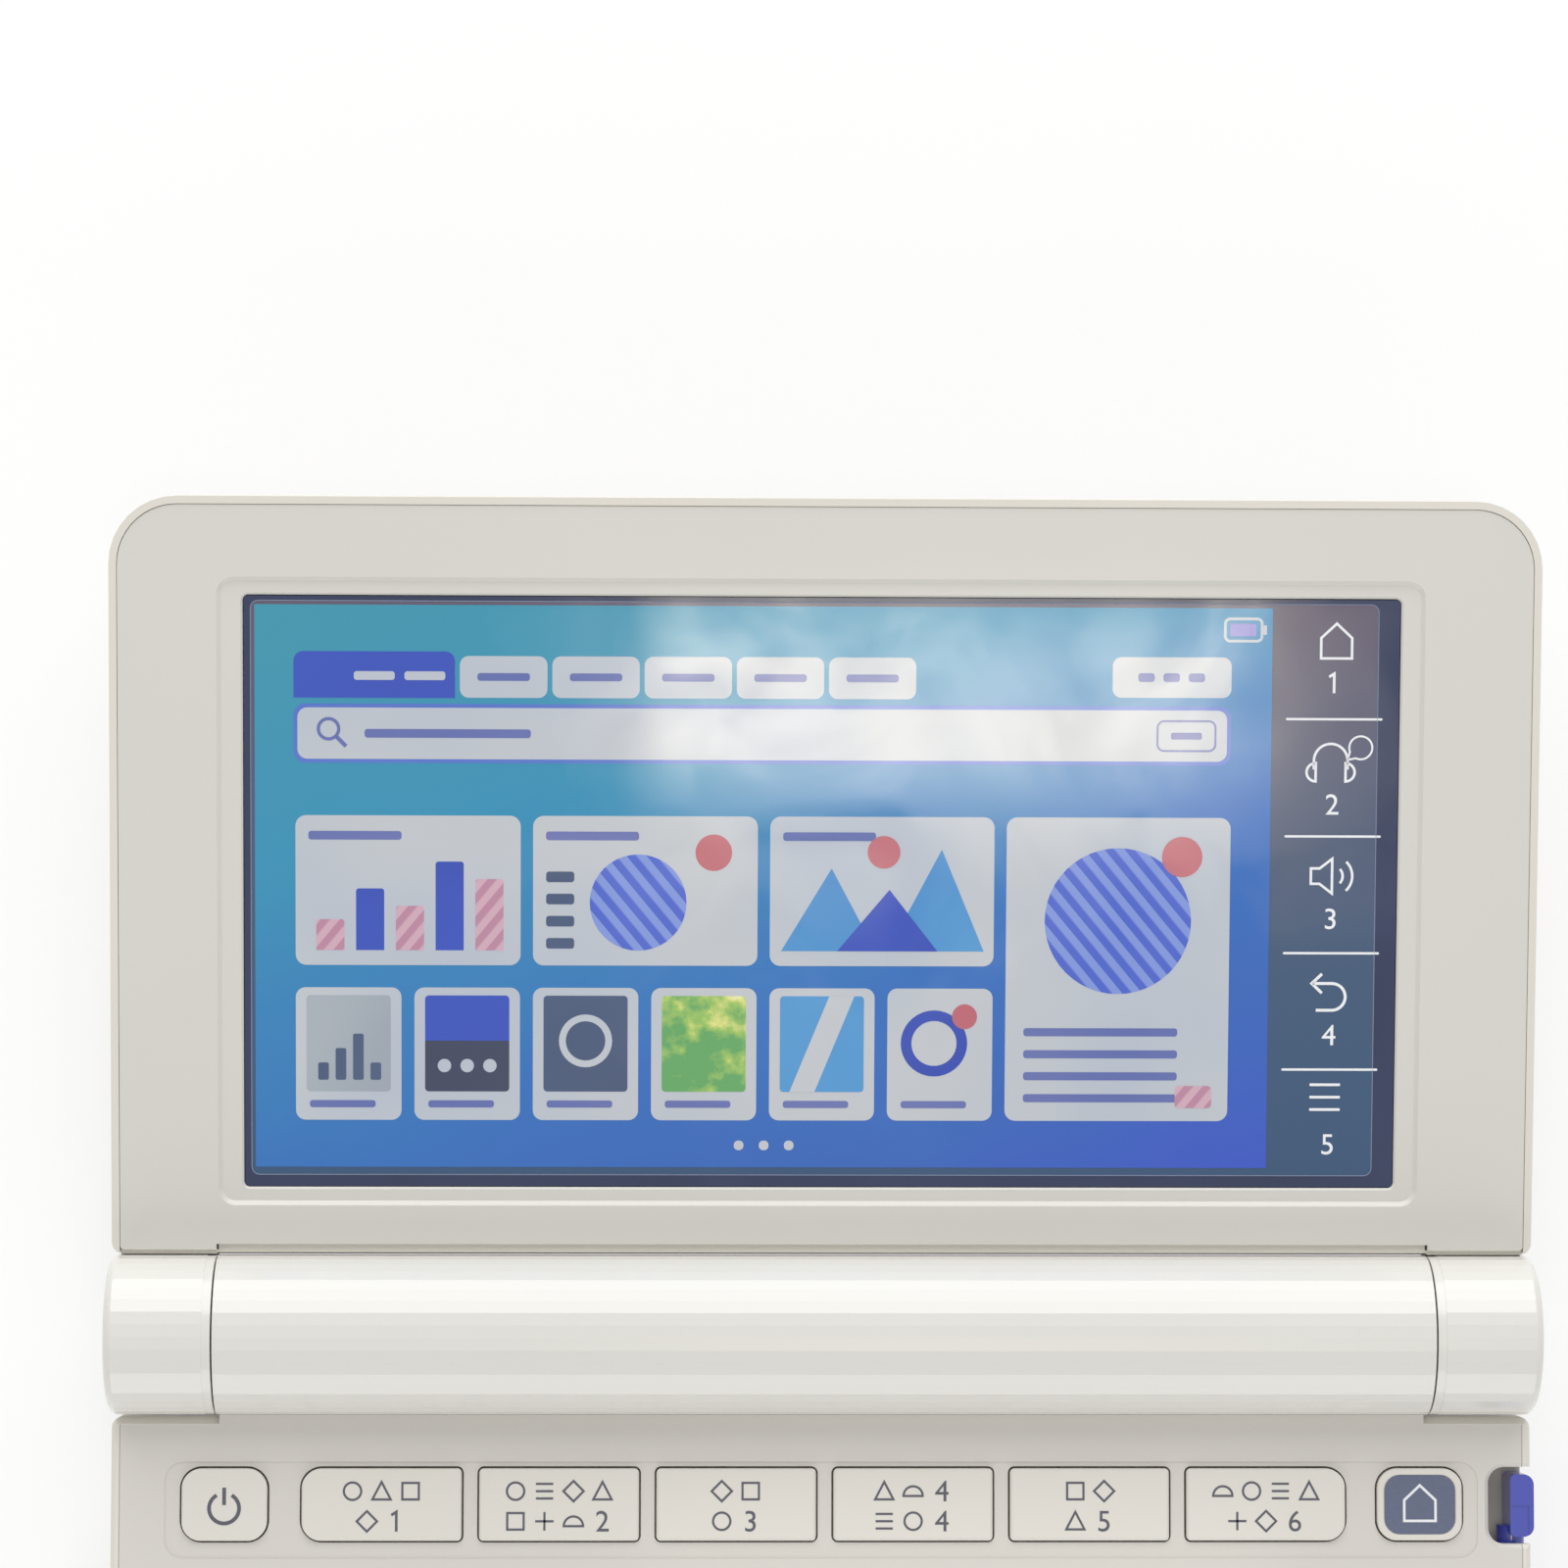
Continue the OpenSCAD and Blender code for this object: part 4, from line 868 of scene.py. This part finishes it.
# %% Letters
letter_rows = [(-60.5, "qwertyuiop"), (-57.5, "asdfghjkl"), (-51.5, "zxcvbnm")]  # x of the first key, and the keys
for r, (start, row) in enumerate(letter_rows, 1):
    for i, c in enumerate(row):
        on_key(f"legend_{c}", glyphs(c.upper(), 2.5), f"letter_{c}", start + LETTER_STEP * i, ROW[r])
start, row = letter_rows[1]
for c in "fj":
    raised = [tile(-1.3, 1.3, -0.2, 0.2, 0.19)]
    x, y = start + LETTER_STEP * row.index(c), ROW[2] - 2.6
    on_key(f"finger_bar_{c}", raised, f"letter_{c}", x, y, key_abs, KEY_TOP - 0.02, 0.12)
print(sum(len(row) for start, row in letter_rows), "letters printed")

# %% Function and cursor keys
RING_X, RING_Y = 50.5, (ROW[4] + ROW[5]) / 2
arrow = stroke([(1.4, 0), (-1.4, 0)], 0.3) + stroke([(-0.5, 0.9), (-1.4, 0), (-0.5, -0.9)], 0.3)
spots = [(60.5, 1, arrow), (51.4, 2, moved(arrow, turn=180)), (33.2, 3, moved(arrow, turn=270)),
         (45.3, 3, moved(arrow, turn=90)), (57.4, 3, shapes["b"])]
for r, bank in enumerate(("o1 t2 s3 d4 p5", "b6 h7 o8 s9 t0"), 4):
    spots += [(-56.4 + 20.3 * i, r, legend_row(pair, 0, 4.2)) for i, pair in enumerate(bank.split())]
on_key("legend_functions", [f for x, r, sign in spots for f in moved(sign, x, ROW[r])], "function_keys", 0, 0)
head = [[(0.85, 7.0), (0, 8.2), (-0.85, 7.0)]]
heads = [f for turn in range(0, 360, 90) for f in moved(head, turn=turn)]
on_key("legend_cursor", heads, "cursor_ring", RING_X, RING_Y, level=-0.25, thick=0.14)
on_key("legend_enter", stroke(disc(0, 0, 1.5, 32), 0.3, closed=True), "enter_key", RING_X, RING_Y)
print(len(spots), "function legends printed")

# %% [markdown]
# ## Screws by Geometry Nodes
#
# Four screws hold the base together from below. Each is a pan head on a threaded shank, with the hollow of a cross
# recess in the head. One node tree makes a screw from named sizes and sets it on every point of a small mesh, so the
# four places are the only data. The hollow is two boxes cut from the head. They begin 0.02 mm inside its face, so a
# thin skin closes the recess and the cut leaves a few stray faces and edges in the head. This set stands for the
# plainer solid of the frame.

# %% The screw tree
screw_sizes = {"Head Radius": 1.9, "Head Height": 0.8, "Recess Width": 0.5, "Recess Reach": 2.3, "Recess Depth": 0.5,
               "Shank Radius": 0.95, "Shank Length": 5.8}
THREAD_TURNS, THREAD_ROOT = 11, 0.8  # the root's radius is a share of the shank's


def screw_tree():
    """Cross-head screws on given points, their heads down."""
    inputs = {"Places": ("Geometry", None)}
    inputs.update({name: ("Float", value) for name, value in screw_sizes.items()})
    tree, given = new_tree("cross_head_screws", {**inputs, "Thread Turns": ("Int", THREAD_TURNS),
                                                 "Finish": ("Material", None)})
    halves = {name: add(tree, "ShaderNodeMath", {1: 0.5}, {0: given[name]}, operation="MULTIPLY").outputs[0]
              for name in ("Head Height", "Recess Depth")}

    def lifted(mesh, height):
        offset = add(tree, "ShaderNodeCombineXYZ", links={"Z": height})
        return add(tree, "GeometryNodeTransform", links={"Geometry": mesh, "Translation": offset.outputs[0]}).outputs[0]

    # the head's face is below and the shank above it, because these screws point up into the case
    shape = {"Radius": given["Head Radius"], "Depth": given["Head Height"]}
    head = add(tree, "GeometryNodeMeshCylinder", {"Vertices": 40}, shape)
    cutters = []
    for way, across in ("XY", "YX"):
        sides = {way: given["Recess Reach"], across: given["Recess Width"], "Z": given["Recess Depth"]}
        size = add(tree, "ShaderNodeCombineXYZ", links=sides)
        box = add(tree, "GeometryNodeMeshCube", links={"Size": size.outputs[0]})
        cutters.append(lifted(box.outputs[0], halves["Recess Depth"]))
    # the head's face lies 0.02 mm below the boxes, which leaves that skin
    sunk = add(tree, "ShaderNodeMath", {1: -0.02}, {0: halves["Head Height"]}, operation="ADD").outputs[0]
    blank = {"Mesh 1": lifted(head.outputs["Mesh"], sunk)}
    cut = add(tree, "GeometryNodeMeshBoolean", links=blank, operation="DIFFERENCE")
    for cutter in cutters:
        tree.links.new(cutter, cut.inputs["Mesh 2"])
    # the thread is a stack of short cones: rings of even pitch, set along a line
    length = {0: given["Shank Length"], 1: given["Thread Turns"]}
    pitch = add(tree, "ShaderNodeMath", links=length, operation="DIVIDE").outputs[0]
    root = add(tree, "ShaderNodeMath", {1: THREAD_ROOT}, {0: given["Shank Radius"]}, operation="MULTIPLY").outputs[0]
    cone = {"Radius Top": root, "Radius Bottom": given["Shank Radius"], "Depth": pitch}
    ring = add(tree, "GeometryNodeMeshCone", {"Vertices": 24}, cone)
    step = add(tree, "ShaderNodeCombineXYZ", links={"Z": pitch})
    line = add(tree, "GeometryNodeMeshLine", links={"Count": given["Thread Turns"], "Offset": step.outputs[0]})
    stack = {"Points": line.outputs[0], "Instance": ring.outputs["Mesh"]}
    turns = add(tree, "GeometryNodeInstanceOnPoints", links=stack)
    thread = add(tree, "GeometryNodeRealizeInstances", links={"Geometry": turns.outputs[0]})
    screw = add(tree, "GeometryNodeJoinGeometry", links={"Geometry": cut.outputs[0]})
    tree.links.new(lifted(thread.outputs[0], given["Head Height"]), screw.inputs[0])
    return hand_out(tree, given["Places"], screw.outputs[0], given["Finish"])


SCREW_FOOT = -7.75  # the heads' outer face, counted from the hinge axis
screw_spots = [(side * x, y, SCREW_FOOT) for side in (-1, 1) for x, y in ((57.5, -24.6), (60.0, -82.8))]
values = {**screw_sizes, "Thread Turns": THREAD_TURNS, "Finish": plated_steel}
screws = grown("case_screw_set", screw_tree(), values, in_base, "base", screw_spots)
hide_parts("case_screws")
print(len(screw_spots), "screws of", len(screws.data.polygons) // len(screw_spots), "faces each")

# %% [markdown]
# ## Table, light and camera
#
# The table is a plain near-white sheet. The light is a large soft panel behind the lid, a lower one in front and an
# even fill from all sides, at a level where a colour renders about as it is written. The rear panel stands high enough
# to reach the deck over the barrel. A small warm panel overhead shows as the pale reflection in the window. A glossy
# surface shows what is around it, so the world is white to the camera, to reflections and to refraction, and dimmer
# only where it lights matt surfaces.

# %% Table
def looked_at(tree):
    """1 where a surface is seen by the camera or in a reflection or refraction, 0 where it only lights others."""
    path = add(tree, "ShaderNodeLightPath").outputs
    seen = path["Is Camera Ray"]
    for way in ("Is Glossy Ray", "Is Transmission Ray"):
        seen = add(tree, "ShaderNodeMath", links={0: seen, 1: path[way]}, operation="MAXIMUM").outputs[0]
    return seen


TABLE_REACH = 1.5  # metres from the middle to each side
WHITE_SHARE = 0.7  # of the sheet is plain white where it is looked at, so that the shadow on it stays faint
table_sheet, tree, shader, place = new_finish("white_table_sheet", Roughness=0.7, IOR=1.4)
# white board with a matt coat, whose tone drifts a little over some 80 mm
flow = add(tree, "ShaderNodeTexNoise", {"Scale": 12.0, "Detail": 2.0}, {"Vector": place})
tones = {6: linear("#F8F8F7"), 7: linear("#FBFBFA")}
tone = add(tree, "ShaderNodeMix", tones, {0: flow.outputs[0]}, data_type="RGBA")
tree.links.new(tone.outputs[2], shader.inputs["Base Color"])
share = add(tree, "ShaderNodeMath", {1: WHITE_SHARE}, {0: looked_at(tree)}, operation="MULTIPLY")
paper = add(tree, "ShaderNodeEmission", {"Color": (1, 1, 1, 1), "Strength": 1.0})
mixed = add(tree, "ShaderNodeMixShader", links={0: share.outputs[0], 1: shader.outputs[0], 2: paper.outputs[0]})
tree.links.new(mixed.outputs[0], next(n for n in tree.nodes if n.type == "OUTPUT_MATERIAL").inputs[0])
mesh = bpy.data.meshes.new("table")
corners = [(x * TABLE_REACH, y * TABLE_REACH, 0) for x, y in ((-1, -1), (1, -1), (1, 1), (-1, 1))]
mesh.from_pydata(corners, [], [(0, 1, 2, 3)])
mesh.materials.append(table_sheet)
table = bpy.data.objects.new("table", mesh)
bpy.context.scene.collection.objects.link(table)
print("table is", 2 * TABLE_REACH, "m wide")

# %% World
FILL = 0.52
world = bpy.data.worlds.new("studio")
bpy.context.scene.world = world
world.use_nodes = True
tree = world.node_tree
tree.nodes.clear()
fill = add(tree, "ShaderNodeBackground", {"Color": linear("#FDFEFF"), "Strength": FILL})
white = add(tree, "ShaderNodeBackground", {"Color": (1, 1, 1, 1), "Strength": 1.0})
both = add(tree, "ShaderNodeMixShader", links={0: looked_at(tree), 1: fill.outputs[0], 2: white.outputs[0]})
add(tree, "ShaderNodeOutputWorld", links={0: both.outputs[0]})
print("the world's fill is", FILL)

# %% Lamps
MIRRORED = (0.069, -0.118)  # metres: a panel that hangs here is seen by the camera as a reflection in the window


def soft_panel(name, place, target, size, watts, tint="#FFFFFF"):
    """A rectangular area lamp that faces its target; places and sizes are in metres."""
    lamp = bpy.data.lights.new(name, "AREA")
    lamp.shape, lamp.size, lamp.size_y, lamp.energy = "RECTANGLE", size[0], size[1], watts
    lamp.color = linear(tint)[:3]
    made = bpy.data.objects.new(name, lamp)
    made.location = place
    made.rotation_euler = (Vector(target) - Vector(place)).to_track_quat("-Z", "Y").to_euler()
    bpy.context.scene.collection.objects.link(made)
    return made


panels = [
    soft_panel("rear_window", (0.0, 1.0, 0.60), (0, 0, 0), (1.5, 1.15), 13.0),
    soft_panel("front_panel", (0.0, -1.1, 0.42), (0, 0, 0), (1.8, 0.8), 6.8),
    soft_panel("ceiling_panel", (*MIRRORED, 0.9), (*MIRRORED, 0.0), (0.176, 0.059), 0.3, "#FFF4DE"),
]
print(len(panels), "panels of", round(sum(panel.data.energy for panel in panels), 1), "W")

# %% Camera
# The photograph was taken from above, almost square to the base, from about half a metre.
CAMERA_PLACE = (-0.01738, 0.02401, 0.53313)
CAMERA_TURN = (("X", 3.637), ("Y", -1.436), ("Z", 0.192))  # degrees, each about an axis that the last one turned
LENS, SENSOR = 115.33, 36.0  # mm
view = bpy.data.cameras.new("camera")
view.lens, view.sensor_width = LENS, SENSOR
camera = bpy.data.objects.new("camera", view)
place = Matrix.Translation(CAMERA_PLACE)
for axis, degrees in CAMERA_TURN:
    place = place @ Matrix.Rotation(math.radians(degrees), 4, axis)
camera.matrix_world = place
bpy.context.scene.collection.objects.link(camera)
bpy.context.scene.camera = camera
bpy.context.scene.view_settings.view_transform = "Standard"
print("camera is", round(camera.location.z, 3), "m above the table")
